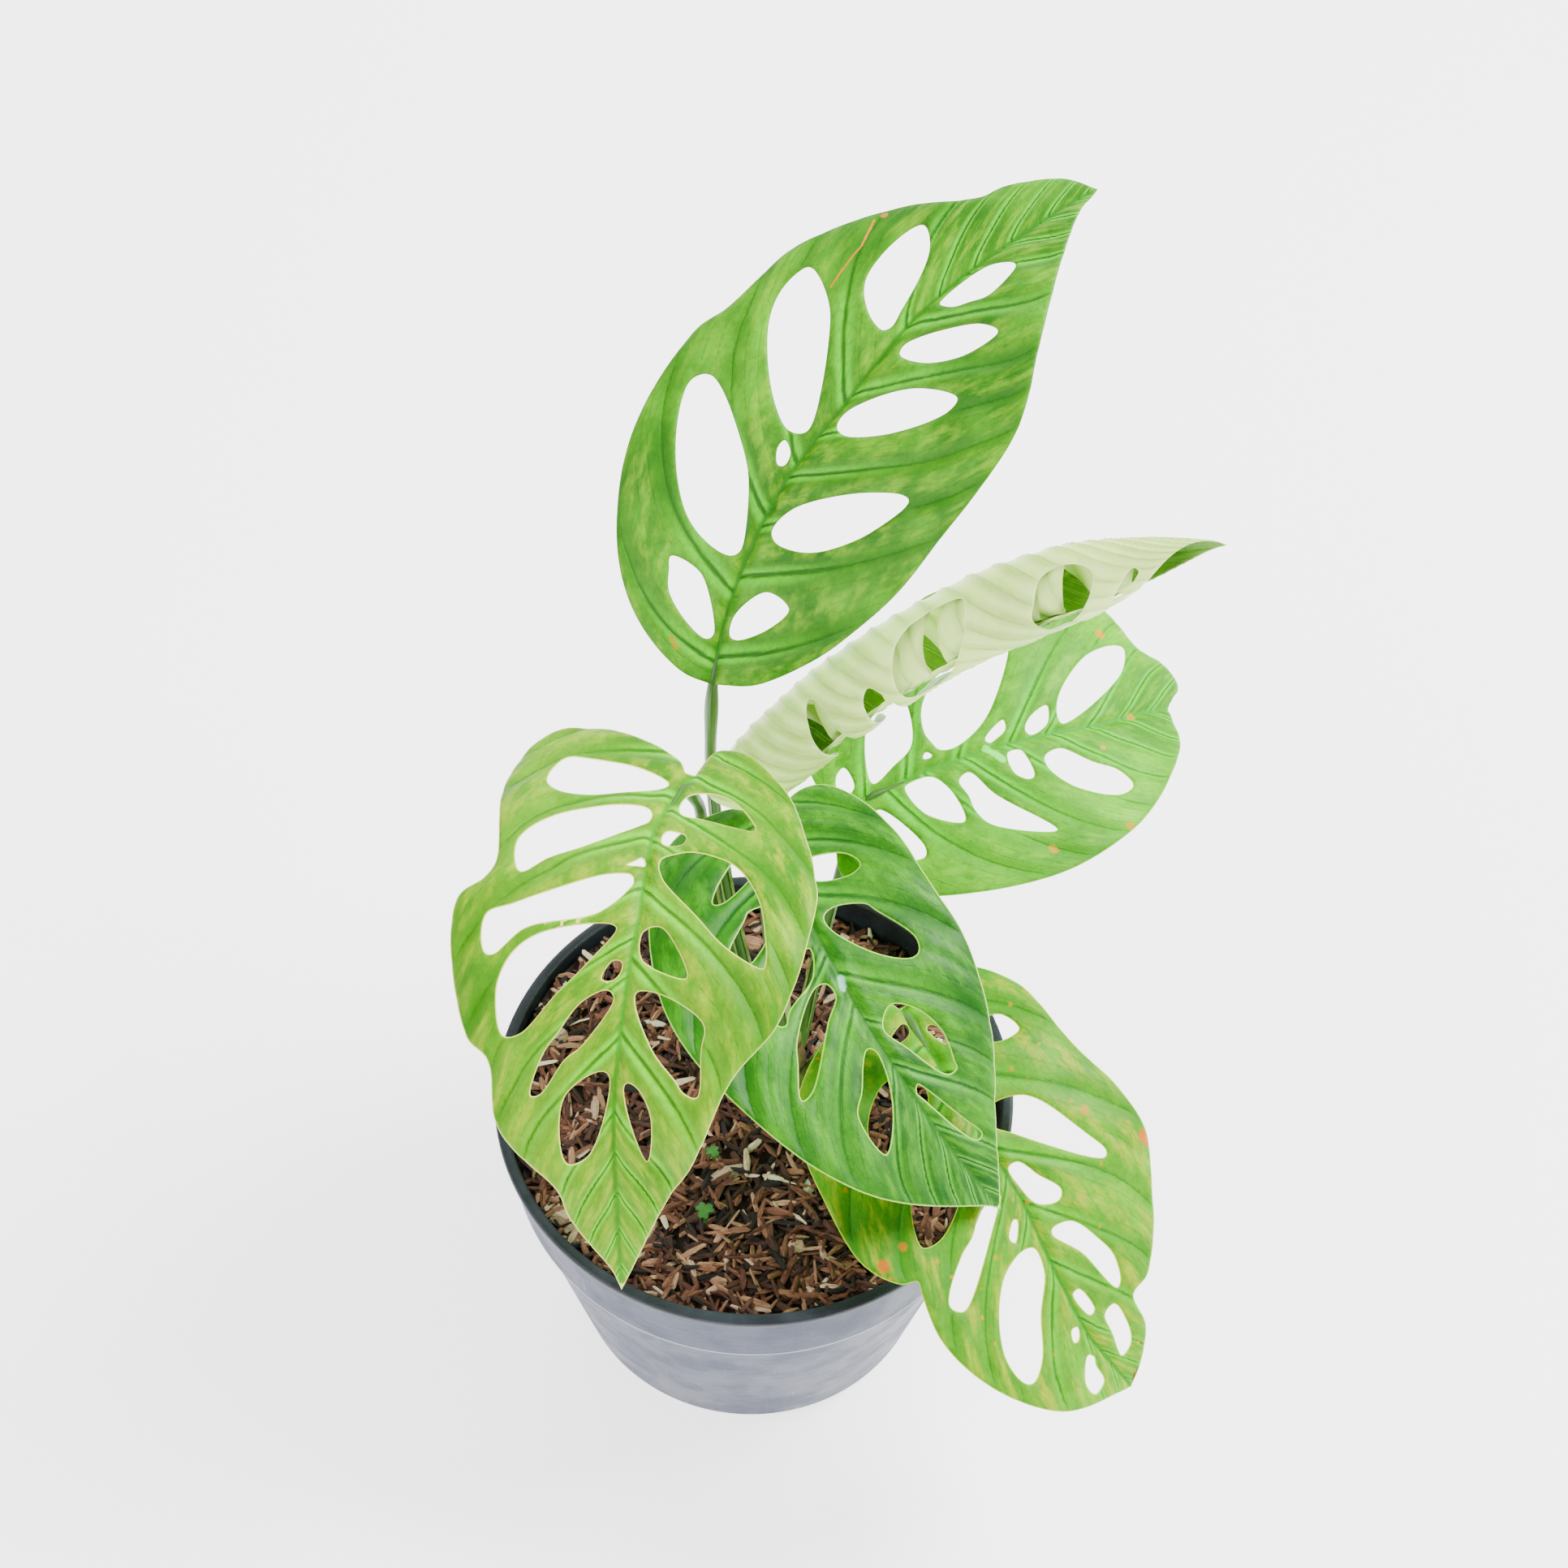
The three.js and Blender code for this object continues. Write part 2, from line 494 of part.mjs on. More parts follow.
// The blade's flat pattern in triangles: the edges of its outline and windows are all kept
function patternOf(leaf) {
  const margin = [
    ...sampled(leaf.rightMargin, false, MARGIN_STEP),
    ...sampled([...leaf.leftMargin].reverse(), false, MARGIN_STEP),
  ];
  const loops = [margin, ...leaf.windows.map((points) => sampled(points, true, WINDOW_STEP))];
  const isLeaf = (x, y) => isInside(loops[0], x, y) && !loops.slice(1).some((loop) => isInside(loop, x, y));
  const lattice = [];
  const rowStep = LATTICE_STEP * Math.sqrt(0.75);
  for (let row = -60; row < 60; row++) {
    for (let column = -30; column < 40; column++) {
      const x = (column + (row % 2) / 2) * LATTICE_STEP;
      const y = row * rowStep;
      const nearest = () => Math.min(...loops.flat().map(([px, py]) => Math.hypot(px - x, py - y)));
      if (isLeaf(x, y) && nearest() > LATTICE_STEP * 0.5) lattice.push([x, y]);
    }
  }
  for (let round = 0; round < 6; round++) {
    const points = [...loops.flat(), ...lattice];
    const triangles = delaunay(points);
    const edges = new Set();
    for (const [a, b, c] of triangles) {
      for (const [u, v] of [[a, b], [b, c], [c, a]]) edges.add(`${u},${v}`).add(`${v},${u}`);
    }
    let start = 0;
    let missing = 0;
    for (const loop of loops) {
      const count = loop.length;
      for (let i = count - 1; i >= 0; i--) {
        const next = (i + 1) % count;
        if (edges.has(`${start + i},${start + next}`)) continue;
        missing++;
        const [from, to] = [loop[i], loop[next]];
        loop.splice(i + 1, 0, [(from[0] + to[0]) / 2, (from[1] + to[1]) / 2]);
      }
      start += count;
    }
    if (missing === 0) {
      const kept = triangles.filter(([a, b, c]) => isLeaf(
        (points[a][0] + points[b][0] + points[c][0]) / 3,
        (points[a][1] + points[b][1] + points[c][1]) / 3,
      ));
      return { points, triangles: kept };
    }
  }
  throw new Error("a window lies too close to its neighbour");
}

// The blade as a sheet of even thickness on its surface, alike on both faces
function bladeGeometry(leaf, thickness) {
  const surface = leaf.rollRadius ? rolledSurface(leaf) : archedSurface(leaf);
  const { points, triangles } = patternOf(leaf);
  const reach = 0.4;
  const upper = [];
  const lower = [];
  for (const [s, t] of points) {
    const along = surface(s + reach, t).sub(surface(s - reach, t));
    const across = surface(s, t + reach).sub(surface(s, t - reach));
    const normal = across.cross(along).normalize().multiplyScalar(thickness / 2);
    const middle = surface(s, t);
    upper.push(middle.clone().add(normal).toArray());
    lower.push(middle.clone().sub(normal).toArray());
  }
  const n = points.length;
  const faces = [];
  const rim = new Map();
  for (const [a, b, c] of triangles) {
    const turn = (points[b][0] - points[a][0]) * (points[c][1] - points[a][1])
      - (points[b][1] - points[a][1]) * (points[c][0] - points[a][0]);
    const [p, q, r] = turn > 0 ? [a, c, b] : [a, b, c];
    faces.push([p, q, r], [p + n, r + n, q + n]);
    for (const [u, v] of [[p, q], [q, r], [r, p]]) {
      if (rim.has(`${v},${u}`)) rim.delete(`${v},${u}`);
      else rim.set(`${u},${v}`, [u, v]);
    }
  }
  for (const [u, v] of rim.values()) faces.push([u, u + n, v + n], [u, v + n, v]);
  return geometryFrom([...upper, ...lower], faces);
}

// The pot's outside radius at a height
function potRadius(z) {
  const collarFoot = POT_HEIGHT - COLLAR_DROP;
  if (z < collarFoot) return lerp(BASE_RADIUS, COLLAR_RADIUS - COLLAR_STEP, z / collarFoot);
  return lerp(COLLAR_RADIUS, RIM_RADIUS - LIP_WIDTH, (z - collarFoot) / COLLAR_DROP);
}

function latheUp(profile, sides) {
  const points = profile.map(([r, z]) => new THREE.Vector2(r, z));
  return solidFrom(new THREE.LatheGeometry(points, sides).rotateX(Math.PI / 2));
}

function potSolid() {
  const collarFoot = POT_HEIGHT - COLLAR_DROP;
  const lipFoot = POT_HEIGHT - LIP_HEIGHT;
  const profile = [
    [0, 0],
    [BASE_RADIUS - BASE_CHAMFER, 0],
    [potRadius(BASE_CHAMFER), BASE_CHAMFER],
    [COLLAR_RADIUS - COLLAR_STEP, collarFoot - 0.8],
    [COLLAR_RADIUS, collarFoot],
    [potRadius(lipFoot), lipFoot],
    [RIM_RADIUS, lipFoot + 0.6],
    [RIM_RADIUS, POT_HEIGHT - 0.8],
    [RIM_RADIUS - 0.8, POT_HEIGHT],
    [potRadius(POT_HEIGHT) - WALL, POT_HEIGHT],
    [potRadius(collarFoot) - WALL, collarFoot],
    [potRadius(FLOOR) - WALL, FLOOR],
    [0, FLOOR],
  ];
  let pot = latheUp(profile, POT_SIDES);
  for (let i = 0; i < DRAIN_HOLES; i++) {
    const angle = (2 * Math.PI * (i + 0.5)) / DRAIN_HOLES;
    const hole = new THREE.CylinderGeometry(DRAIN_RADIUS, DRAIN_RADIUS, 4 * FLOOR, 12)
      .rotateX(Math.PI / 2)
      .translate(DRAIN_CIRCLE * Math.cos(angle), DRAIN_CIRCLE * Math.sin(angle), FLOOR / 2);
    pot = pot.subtract(solidFrom(hole));
  }
  return pot;
}

function soilHeight(x, y) {
  const reach = Math.hypot(x, y) / RIM_RADIUS;
  return SOIL_EDGE_HEIGHT + SOIL_CROWN * (1 - reach * reach);
}

// One long flake of bark with blunt, narrowed ends
function chipSolid(length, width, thickness) {
  const chip = new THREE.BoxGeometry(length, width, thickness, 2, 1, 1);
  const place = chip.attributes.position;
  for (let i = 0; i < place.count; i++) {
    const middle = Math.abs(place.getX(i)) < length / 4;
    place.setY(i, place.getY(i) * (middle ? 1 : 0.55));
    place.setZ(i, place.getZ(i) * (middle ? 1 : 0.6));
  }
  return chip;
}

function soilSolid() {
  const inner = (z) => potRadius(z) - WALL - GAP;
  const collarFoot = POT_HEIGHT - COLLAR_DROP;
  const rings = [46, 0];
  const edge = inner(SOIL_EDGE_HEIGHT);
  let soil = latheUp([
    [0, FLOOR + GAP],
    [inner(FLOOR + GAP), FLOOR + GAP],
    [inner(collarFoot) - 0.6, collarFoot],
    [edge, soilHeight(edge, 0)],
    ...rings.map((r) => [r, soilHeight(r, 0)]),
  ], POT_SIDES);
  const draw = randomDraws(31);
  const chips = [];
  for (let i = 0; i < CHIP_COUNT; i++) {
    const reach = (edge - CHIP_LENGTH * 0.72) * Math.sqrt((i + 0.5) / CHIP_COUNT);
    const angle = i * 2.39996 + 0.3 * draw();
    const size = 0.75 + 0.5 * draw();
    const chip = chipSolid(CHIP_LENGTH * size, CHIP_WIDTH * (0.8 + 0.5 * draw()), CHIP_THICKNESS)
      .rotateX(rad(50 * (draw() - 0.5)))
      .rotateY(rad(22 * (draw() - 0.5)))
      .rotateZ(Math.PI * draw())
      .translate(0, 0, 0.5 + 0.9 * draw());
    const [x, y] = [reach * Math.cos(angle), reach * Math.sin(angle)];
    chips.push(solidFrom(chip.translate(x, y, soilHeight(x, y))));
  }
  for (const chip of chips) soil = soil.add(chip);
  return soil;
}

function stemSolid(extra) {
  const taper = (u) => STEM_RADIUS * (u > 0.96 ? 0.72 : 1) + extra;
  let stem = barAlong(STEM, taper, 14, STEM_SIDES, extra);
  for (const root of ROOTS) {
    stem = stem.add(barAlong(root, (u) => ROOT_RADIUS * (1 - 0.5 * u) + extra, 6, 6, extra));
  }
  return stem;
}

function stalkSolid(name, stem) {
  const leaf = LEAVES[name];
  const widen = (u) => lerp(STALK_BASE_RADIUS, STALK_TOP_RADIUS, Math.min(1, u * 2.2));
  const stalk = barAlong(STALKS[name], widen, STALK_STEPS, STALK_SIDES);
  const wider = (margin) => margin.map(([s, t]) => [s - STALK_END_GAP, t]);
  const margins = { leftMargin: wider(leaf.leftMargin), rightMargin: wider(leaf.rightMargin) };
  const room = { ...leaf, ...margins, windows: [] };
  const blade = solidFrom(bladeGeometry(room, BLADE_THICKNESS + 2 * STALK_END_GAP));
  return largestBody(stalk.subtract(stem).subtract(blade));
}

function seedlingSolid({ at: [x, y], height, leaflet, turn }) {
  const foot = soilHeight(x, y);
  const stem = new THREE.CylinderGeometry(0.6, 0.7, height + 4, 6).rotateX(Math.PI / 2);
  let seedling = solidFrom(stem.translate(x, y, foot + (height - 4) / 2));
  for (let i = 0; i < 3; i++) {
    const pad = new THREE.CylinderGeometry(leaflet, leaflet * 0.92, 0.8, 8)
      .scale(1, 1, 0.8)
      .rotateX(Math.PI / 2)
      .translate(leaflet * 0.85, 0, 0)
      .rotateY(rad(-12))
      .rotateZ(rad(turn + 120 * i))
      .translate(x, y, foot + height);
    seedling = seedling.add(solidFrom(pad));
  }
  return seedling;
}

const plant = new THREE.Group();

plant.add(nodeOf("pot", geometryOf(potSolid()), 0x9ea6b8, 0.5));

// The stem and the seedlings stand in plain holes in the mix.
const stemRoom = stemSolid(GAP);
let soil = soilSolid().subtract(stemRoom);
for (const seedling of SEEDLINGS) {
  const [x, y] = seedling.at;
  const hole = new THREE.CylinderGeometry(1.1, 1.1, 14, 8)
    .rotateX(Math.PI / 2)
    .translate(x, y, soilHeight(x, y));
  soil = soil.subtract(solidFrom(hole));
}
plant.add(nodeOf("potting_mix", geometryOf(largestBody(soil)), 0x4a3023, 0.95));
plant.add(nodeOf("stem_and_roots", geometryOf(stemSolid(0)), 0x5f7d3c, 0.6));

for (const [name, leaf] of Object.entries(LEAVES)) {
  plant.add(nodeOf(`leaf_${name}`, bladeGeometry(leaf, BLADE_THICKNESS), leaf.colour, 0.45));
  plant.add(nodeOf(`stalk_${name}`, geometryOf(stalkSolid(name, stemRoom)), 0x5d8a3f, 0.5));
}
for (const seedling of SEEDLINGS) {
  plant.add(nodeOf(seedling.name, geometryOf(seedlingSolid(seedling)), 0x5fa03c, 0.6));
}

export default plant;
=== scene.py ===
"""Potted esqueleto monstera: windowed leaves, stalks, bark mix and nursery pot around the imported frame."""

import math
import random

import bmesh
import bpy
import numpy as np
from mathutils import Matrix, Vector, noise
from mathutils.geometry import delaunay_2d_cdt


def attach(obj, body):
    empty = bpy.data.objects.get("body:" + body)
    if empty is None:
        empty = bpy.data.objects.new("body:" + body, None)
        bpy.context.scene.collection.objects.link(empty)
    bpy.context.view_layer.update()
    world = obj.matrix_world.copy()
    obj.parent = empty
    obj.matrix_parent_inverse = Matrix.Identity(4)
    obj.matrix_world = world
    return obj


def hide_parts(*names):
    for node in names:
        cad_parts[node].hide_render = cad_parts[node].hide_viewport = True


bl_info = {
    "name": "Potted esqueleto monstera",
    "version": (1, 0, 0),
    "blender": (4, 5, 0),
    "location": "View3D > Sidebar > Plant",
    "description": "Builds a windowed monstera in its nursery pot",
    "category": "Add Mesh",
}

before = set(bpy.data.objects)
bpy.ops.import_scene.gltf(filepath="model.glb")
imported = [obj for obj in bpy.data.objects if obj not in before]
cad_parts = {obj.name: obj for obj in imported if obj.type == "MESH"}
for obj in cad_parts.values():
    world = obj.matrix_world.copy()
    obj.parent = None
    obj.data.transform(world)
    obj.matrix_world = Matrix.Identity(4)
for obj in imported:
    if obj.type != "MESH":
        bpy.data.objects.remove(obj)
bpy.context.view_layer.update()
MM = 0.001

# Pot and mix, in millimetres
RIM_RADIUS, POT_HEIGHT, LIP_HEIGHT, LIP_WIDTH = 85.0, 117.0, 3.0, 2.2
COLLAR_DROP, COLLAR_RADIUS, COLLAR_STEP = 31.0, 80.5, 1.2
BASE_RADIUS, BASE_CHAMFER, WALL, FLOOR = 61.0, 2.0, 1.6, 1.7
DRAIN_HOLES, DRAIN_RADIUS, DRAIN_CIRCLE = 6, 4.5, 42.0
SOIL_EDGE_HEIGHT, SOIL_CROWN, SOIL_BANK, SOIL_GAP = 104.0, 2.5, 12.0, 0.3
BANK_BEARING, BANK_SPREAD = 150, 52
BED_DROP = 0.8
STEM_RADIUS, ROOT_RADIUS = 6.6, 1.7

# Leaves. Turns are heading, pitch and roll in degrees at even steps from the heel to the tip.
# Right and left give the rise of each half at heel and tip, then its droop per 100 mm there.
# Outlines and windows are points of distance along the midrib and distance to its right, in mm.
LEAVES = {
    "back_tall": {
        "slot": "leaf_mid_green",
        "base": (-16, 60, 252),
        "heel": 30,
        "length": 196,
        "turns": ((92, 38, 0), (65, 48, 0), (44, 40, 0), (33, 30, 0), (22, 18, 0)),
        "right": (14, 8, 45, 30),
        "left": (14, 8, 45, 30),
        "midrib": (0, -1, -1, 1, -1, 0, 0),
        "quilt": 1.2,
        "sway": 1.3,
        "left_margin": ((2, -1), (4, -10), (19, -31), (47, -49), (85, -57), (97, -52), (122, -48),
            (149, -32), (167, -18), (173, -17), (189, -9), (196, 0)),
        "right_margin": ((2, 1), (5, 14), (18, 29), (39, 42), (61, 50), (106, 55), (132, 51), (157, 34),
            (189, 4), (193, 2), (196, 0)),
        "windows": (
            ((41, -5.5), (41, -12), (47.5, -25.5), (75.5, -46), (80, -40.5), (65.5, -13.5), (44, -3.5)),
            ((34, -23), (30.5, -22), (24.5, -19.5), (15, -5), (17, -3), (32.5, -12)),
            ((119, -39), (111, -40.5), (99.5, -35), (81, -9.5), (84, -3.5), (95.5, -7.5), (115, -23.5)),
            ((78, -8), (75, -8.5), (71, -5.5), (72, -3.5), (76, -4)),
            ((149.5, -22.5), (128.5, -22), (122, -13.5), (121, -5.5), (123.5, -4), (128.5, -5.5),
                (146, -13.5)),
            ((138.5, 2), (156, 3), (163, 8), (162.5, 10), (151, 12), (145, 9), (140.5, 6)),
            ((119.5, 5), (123, 4), (143.5, 18), (146, 24), (134, 22.5), (123, 14)),
            ((90.5, 4.5), (95, 3.5), (114.5, 16.5), (122.5, 31), (117.5, 31.5), (101, 22), (90.5, 9)),
            ((53, 3.5), (62.5, 6.5), (87.5, 36), (87.5, 39), (68, 32), (53.5, 18.5), (50.5, 6.5)),
            ((24, 2), (35.5, 10), (33.5, 18.5), (24.5, 14), (17.5, 5), (18, 2.5)),
        ),
        "marks": (
            (11.94, -2.78, 13.34, -3.05, 0.035, "D47D15"),
            (13.34, -3.05, 14.04, -3.46, 0.045, "E58B2A"),
            (14.31, -3.38, 14.36, -3.33, 0.09, "DA8738"),
            (1.05, -1.28, 1.26, -1.47, 0.09, "A78700"),
        ),
        "look": {
            "dark": "216A00",
            "light": "62BD00",
            "warm": "95D500",
            "vein": "1D6103",
            "shoulder_highlight": "68E000",
            "midrib_colour": "237B07",
            "rim": "568406",
            "under": "6FC53B",
            "warm_amount": 0.5,
            "rim_width": 0.4,
            "rim_amount": 0.6,
            "specular": 0.2,
            "coat": 0.02,
        },
    },
    "front_left": {
        "slot": "leaf_lime",
        "base": (-22, 35, 240),
        "heel": 36,
        "length": 182,
        "turns": ((-112, 25, 0), (-105, 22, 0), (-97, -22, 0), (-90, -58, 0), (-82, -68, 0)),
        "right": (10, 8, 65, 40),
        "left": (10, 8, 60, 40),
        "midrib": (0, 2, -1, 0, 1, 0, 0),
        "quilt": 2.0,
        "sway": 2.2,
        "left_margin": ((-2, -1), (-19, -3), (-22, -11), (-4, -32), (29, -48), (55, -51), (89, -45),
            (107, -33), (138, -21), (148, -15), (181, 0)),
        "right_margin": ((-2, 2), (-8, 7), (-12, 45), (-4, 52), (16, 54), (51, 45), (56, 47), (62, 54),
            (100, 45), (106, 38), (123, 35), (132, 29), (143, 18), (154, 14), (172, 3), (181, 0)),
        "windows": (
            ((17, 39.5), (5.5, 39.5), (3, 37.5), (3, 32), (2.5, 18.5), (6, 5), (8.5, 4.5), (17.5, 18),
                (20.5, 34)),
            ((24, 4.5), (21.5, 7.5), (32, 33.5), (42, 40.5), (53, 36.5), (47.5, 29.5), (42, 20),
                (30, 6), (28, 4.5)),
            ((46, 6), (44.5, 4.5), (42, 2), (44, 1), (45.5, 3)),
            ((49, 4.5), (63, 36), (66.5, 43.5), (77, 42), (77.5, 39.5), (69.5, 31.5), (62, 11), (54, 4),
                (51, 3)),
            ((65, 7), (70, 26), (76, 33.5), (86, 37), (99, 34), (98, 29), (86, 19.5), (77, 12), (66, 5)),
            ((81, 7), (75.5, 4.5), (75.5, 2), (78.5, 2), (81, 4)),
            ((115, 25), (103.5, 22), (97, 18), (88, 12), (84, 5), (86, 3), (100, 11), (104, 15.5),
                (114.5, 22.5)),
            ((107, 4.5), (114.5, 15), (133, 15.5), (135.5, 13.5), (132.5, 8), (109, 2.5)),
            ((110, -3), (111.5, -2), (134.5, -9), (119.5, -10), (111.5, -6)),
            ((84, -3.5), (83.5, -10), (91, -23.5), (99, -23.5), (113, -23), (112, -19.5), (108, -16.5),
                (99, -9)),
            ((66, -3), (72, -3), (75, -5), (78, -17.5), (64, -8)),
            ((42, -3.5), (38, -10), (39, -23.5), (51, -34.5), (72, -39), (72, -37), (67, -27),
                (59, -17.5), (48, -5)),
            ((32.5, -1.5), (30, -3), (31, -8), (35, -8), (36, -2.5)),
            ((10, -3.5), (6, -10), (8, -17.5), (19, -26.5), (21, -25.5), (21.5, -10), (20.5, -3.5)),
        ),
        "look": {
            "dark": "398000",
            "light": "7AB800",
            "warm": "B2CD00",
            "vein": "2D7900",
            "shoulder_highlight": "80E900",
            "midrib_colour": "3B980B",
            "rim": "FFFF72",
            "under": "90F235",
            "warm_amount": 0.55,
            "rim_width": 0.4,
            "rim_amount": 0.75,
            "specular": 0.12,
            "coat": 0.02,
        },
    },
    "middle": {
        "slot": "leaf_deep_green",
        "base": (2, 42, 200),
        "heel": 30,
        "length": 145,
        "turns": ((-80, 10, 0), (-68, 0, 0), (-56, -20, 0), (-42, -40, 0), (-29, -45, 0)),
        "right": (10, 6, 40, 30),
        "left": (10, 6, 40, 30),
        "midrib": (0, -1, -1, 0, 0, 0, 0),
        "quilt": 1.8,
        "sway": 1.2,
        "left_margin": ((1, -1), (-14, -12), (-16, -22), (-10, -30), (7, -38), (43, -42), (65, -43),
            (101, -33), (134, -10), (145, 0)),
        "right_margin": ((1, 1), (-13, 4), (-4, 31), (40, 53), (77, 47), (109, 32), (141, 2.5),
            (145, 0)),
        "windows": (
            ((18, 24.5), (18.5, 21), (9, 5), (4, 5.5), (4, 9.5)),
            ((24, 15), (26.5, 18), (35.5, 28), (39.5, 26), (35.5, 16), (25, 7.5)),
            ((42, 3.5), (50, 7), (56, 19.5), (59, 23), (58, 25), (42, 7)),
            ((54, 4.5), (53.5, 8), (64.5, 22.5), (69.5, 26), (78, 31.5), (77.5, 27), (63.5, 10),
                (58.5, 4)),
            ((77, 4.5), (79, 2.5), (94, 7.5), (104, 19.5), (90.5, 19.5), (86, 14)),
            ((15, -21), (21, -24), (23.5, -20), (21, -8.5), (15, -5.5), (12.5, -8)),
            ((34, -6), (32.5, -10), (36, -19.5), (39, -21), (54, -28), (59, -26.5), (59.5, -23.5),
                (53, -15), (38, -5.5)),
            ((69.5, -10), (75.5, -16.5), (87, -19.5), (97, -17.5), (99.5, -17), (99, -13.5), (83.5, -7),
                (74.5, -4)),
            ((95, -3), (98, -4.5), (114.5, -9.5), (123, -11.5), (123, -9), (99.5, -2), (97, -1.5)),
        ),
        "marks": (
            (5.45, 0.0, 5.72, 0.1, 0.16, "90CFB6"),
            (11.08, -0.54, 12.29, -0.9, 0.07, "531E00"),
        ),
        "look": {
            "dark": "055100",
            "light": "489B00",
            "warm": "67C300",
            "vein": "034A00",
            "shoulder_highlight": "5BB625",
            "midrib_colour": "1A6300",
            "rim": "C7FF58",
            "under": "5A9F41",
            "warm_amount": 0.4,
            "rim_width": 0.5,
            "rim_amount": 0.85,
            "specular": 0.24,
            "coat": 0.02,
            "vein_amount": 0.55,
            "vein_width": 0.03,
        },
    },
    "back_right": {
        "slot": "leaf_grey_green",
        "base": (32.4, 60.4, 196),
        "heel": 36,
        "length": 128,
        "turns": ((14, 10, 18), (18, 12, 18), (23, 4, 18), (29, -14, 18), (36, -42, 18)),
        "right": (10, 6, 30, 20),
        "left": (10, 6, 30, 20),
        "midrib": (0, -2, -2, 0, 2, 1, 0),
        "quilt": 1.0,
        "sway": 1.4,
        "left_margin": ((-1, -1), (-7, -3), (-12, -8), (-12, -23), (-4, -37), (14, -47), (35, -53),
            (46, -57), (77, -53), (102.5, -38), (106.6, -32.7), (110.3, -23.8), (115.3, -19.3),
            (120.2, -17), (124.3, -13.2), (126, -9.4), (124.7, -6.3), (120.2, -3.6), (116.5, -1)),
        "right_margin": ((-1, 2), (-12, 11), (-13, 25), (10, 38), (49, 45), (75, 40), (89, 33),
            (101.7, 23.4), (107.4, 18.5), (111.1, 14.4), (112.8, 10.6), (113.2, 6.3), (114.2, 2),
            (116.5, -1)),
        "windows": (
            ((-2, -12), (-5, -10.5), (-6.5, -6), (-5, -3), (-1, -5)),
            ((8, -19), (5, -4), (13, -7), (21, -11.5), (24.5, -25), (22, -32.5), (18.5, -32)),
            ((23, -6), (24, -7.5), (25, -7.5), (26, -6), (24.5, -5.5)),
            ((29.5, -23), (26.5, -14), (27.5, -10), (29, -7), (34, -6), (47.5, -12), (65, -35.5),
                (63.5, -39), (53.5, -40.5)),
            ((44, -5), (52, -9), (51.5, -6), (47.5, -4), (45, -3.5)),
            ((60.5, -7), (67.5, -9), (65.5, -3.5), (59, -1.5), (57.5, -3.5)),
            ((72, -10), (89.5, -22), (104.5, -22), (100, -14), (70, -2)),
            ((14, 1.5), (15.5, 0), (23, 0.5), (27.5, 7.5), (27.5, 18.5), (17.5, 12)),
            ((31, 5), (35, 3.5), (40, 13.5), (53.5, 31.5), (35, 22.5), (32, 16), (32, 11)),
            ((49, 2), (53.5, 2.5), (54, 12), (52, 12.5), (48.5, 9)),
            ((60, 7), (66, 6), (74.5, 14), (81.5, 19), (84, 25), (78.5, 27), (65, 20), (59.5, 11)),
            ((4, 5), (13, 21.5), (12, 25), (7, 24), (0.5, 6.5)),
        ),
        "marks": (
            (9.67, -2.96, 9.7, -2.93, 0.2, "CF9300"),
            (9.59, 0.03, 9.62, 0.05, 0.17, "BC9400"),
            (7.95, 0.89, 7.97, 0.9, 0.1, "DA933D"),
            (4.97, 3.8, 5.0, 3.85, 0.16, "B78C00"),
            (7.63, 3.61, 7.7, 3.7, 0.14, "B89100"),
            (4.31, -0.04, 4.66, 0.5, 0.14, "75FD51"),
        ),
        "look": {
            "dark": "388300",
            "light": "74D000",
            "warm": "92DE00",
            "vein": "2A7500",
            "shoulder_highlight": "5EDC00",
            "midrib_colour": "329617",
            "rim": "98D442",
            "under": "73B44F",
            "spots": 0.03,
            "spot": "C78800",
            "warm_amount": 0.3,
            "rim_width": 0.4,
            "rim_amount": 0.6,
            "roughness": 0.5,
            "specular": 0.16,
            "coat": 0.02,
        },
    },
    "lower_right": {
        "slot": "leaf_mottled",
        "base": (47.4, 10.8, 150),
        "heel": 30,
        "length": 147,
        "turns": ((-70, 5, 0), (-63, 0, 0), (-55, -25, 0), (-46, -40, 0), (-37, -50, 0)),
        "right": (10, 6, 40, 30),
        "left": (10, 6, 40, 30),
        "midrib": (0, -1, -1, -2, 1, 3, 0),
        "quilt": 1.2,
        "sway": 1.5,
        "left_margin": ((-1, -1), (-8, -16), (-5, -28), (8, -38), (42, -45), (59, -50), (81, -51),
            (101, -42), (107, -39), (121, -26), (123, -18), (135, -16), (143, -8), (147, 0)),
        "right_margin": ((-1, 1), (-5, 5), (-4, 15), (1, 28), (17, 47), (29, 52), (42, 54), (64, 54),
            (74, 47), (76, 42), (79, 43), (93, 46), (112, 41), (133, 26), (144, 6), (147, 0)),
        "windows": (
            ((68.5, 35), (69.5, 28), (61, 15), (57.5, 15), (52, 23), (53.5, 28.5)),
            ((70, 14), (74, 19), (77, 25.5), (86.5, 37.5), (90, 34.5), (71, 6.5), (68.5, 4), (66, 4.5)),
            ((77, 4.5), (77.5, 3.5), (79, 4), (83, 8), (81, 9)),
            ((88, 3.5), (96.5, 5), (106, 13.5), (116, 21.5), (119.5, 28.5), (118, 31), (107.5, 31.5),
                (90, 18), (86.5, 8)),
            ((16, -27), (23.5, -30), (25, -22), (21.5, -16.5), (15.5, -19)),
            ((45, -20), (66.5, -31.5), (75.5, -34.5), (77, -33), (54, -10.5), (48, -5.5), (43, -7.5)),
            ((62.5, -3.5), (62.5, -7), (69.5, -10.5), (77.5, -14.5), (80, -12), (77, -5.5),
                (69.5, -3.5)),
            ((88, -4.5), (86.5, -5.5), (88, -12), (98.5, -17), (107.5, -19), (116, -16.5), (117, -14.5),
                (99, -10)),
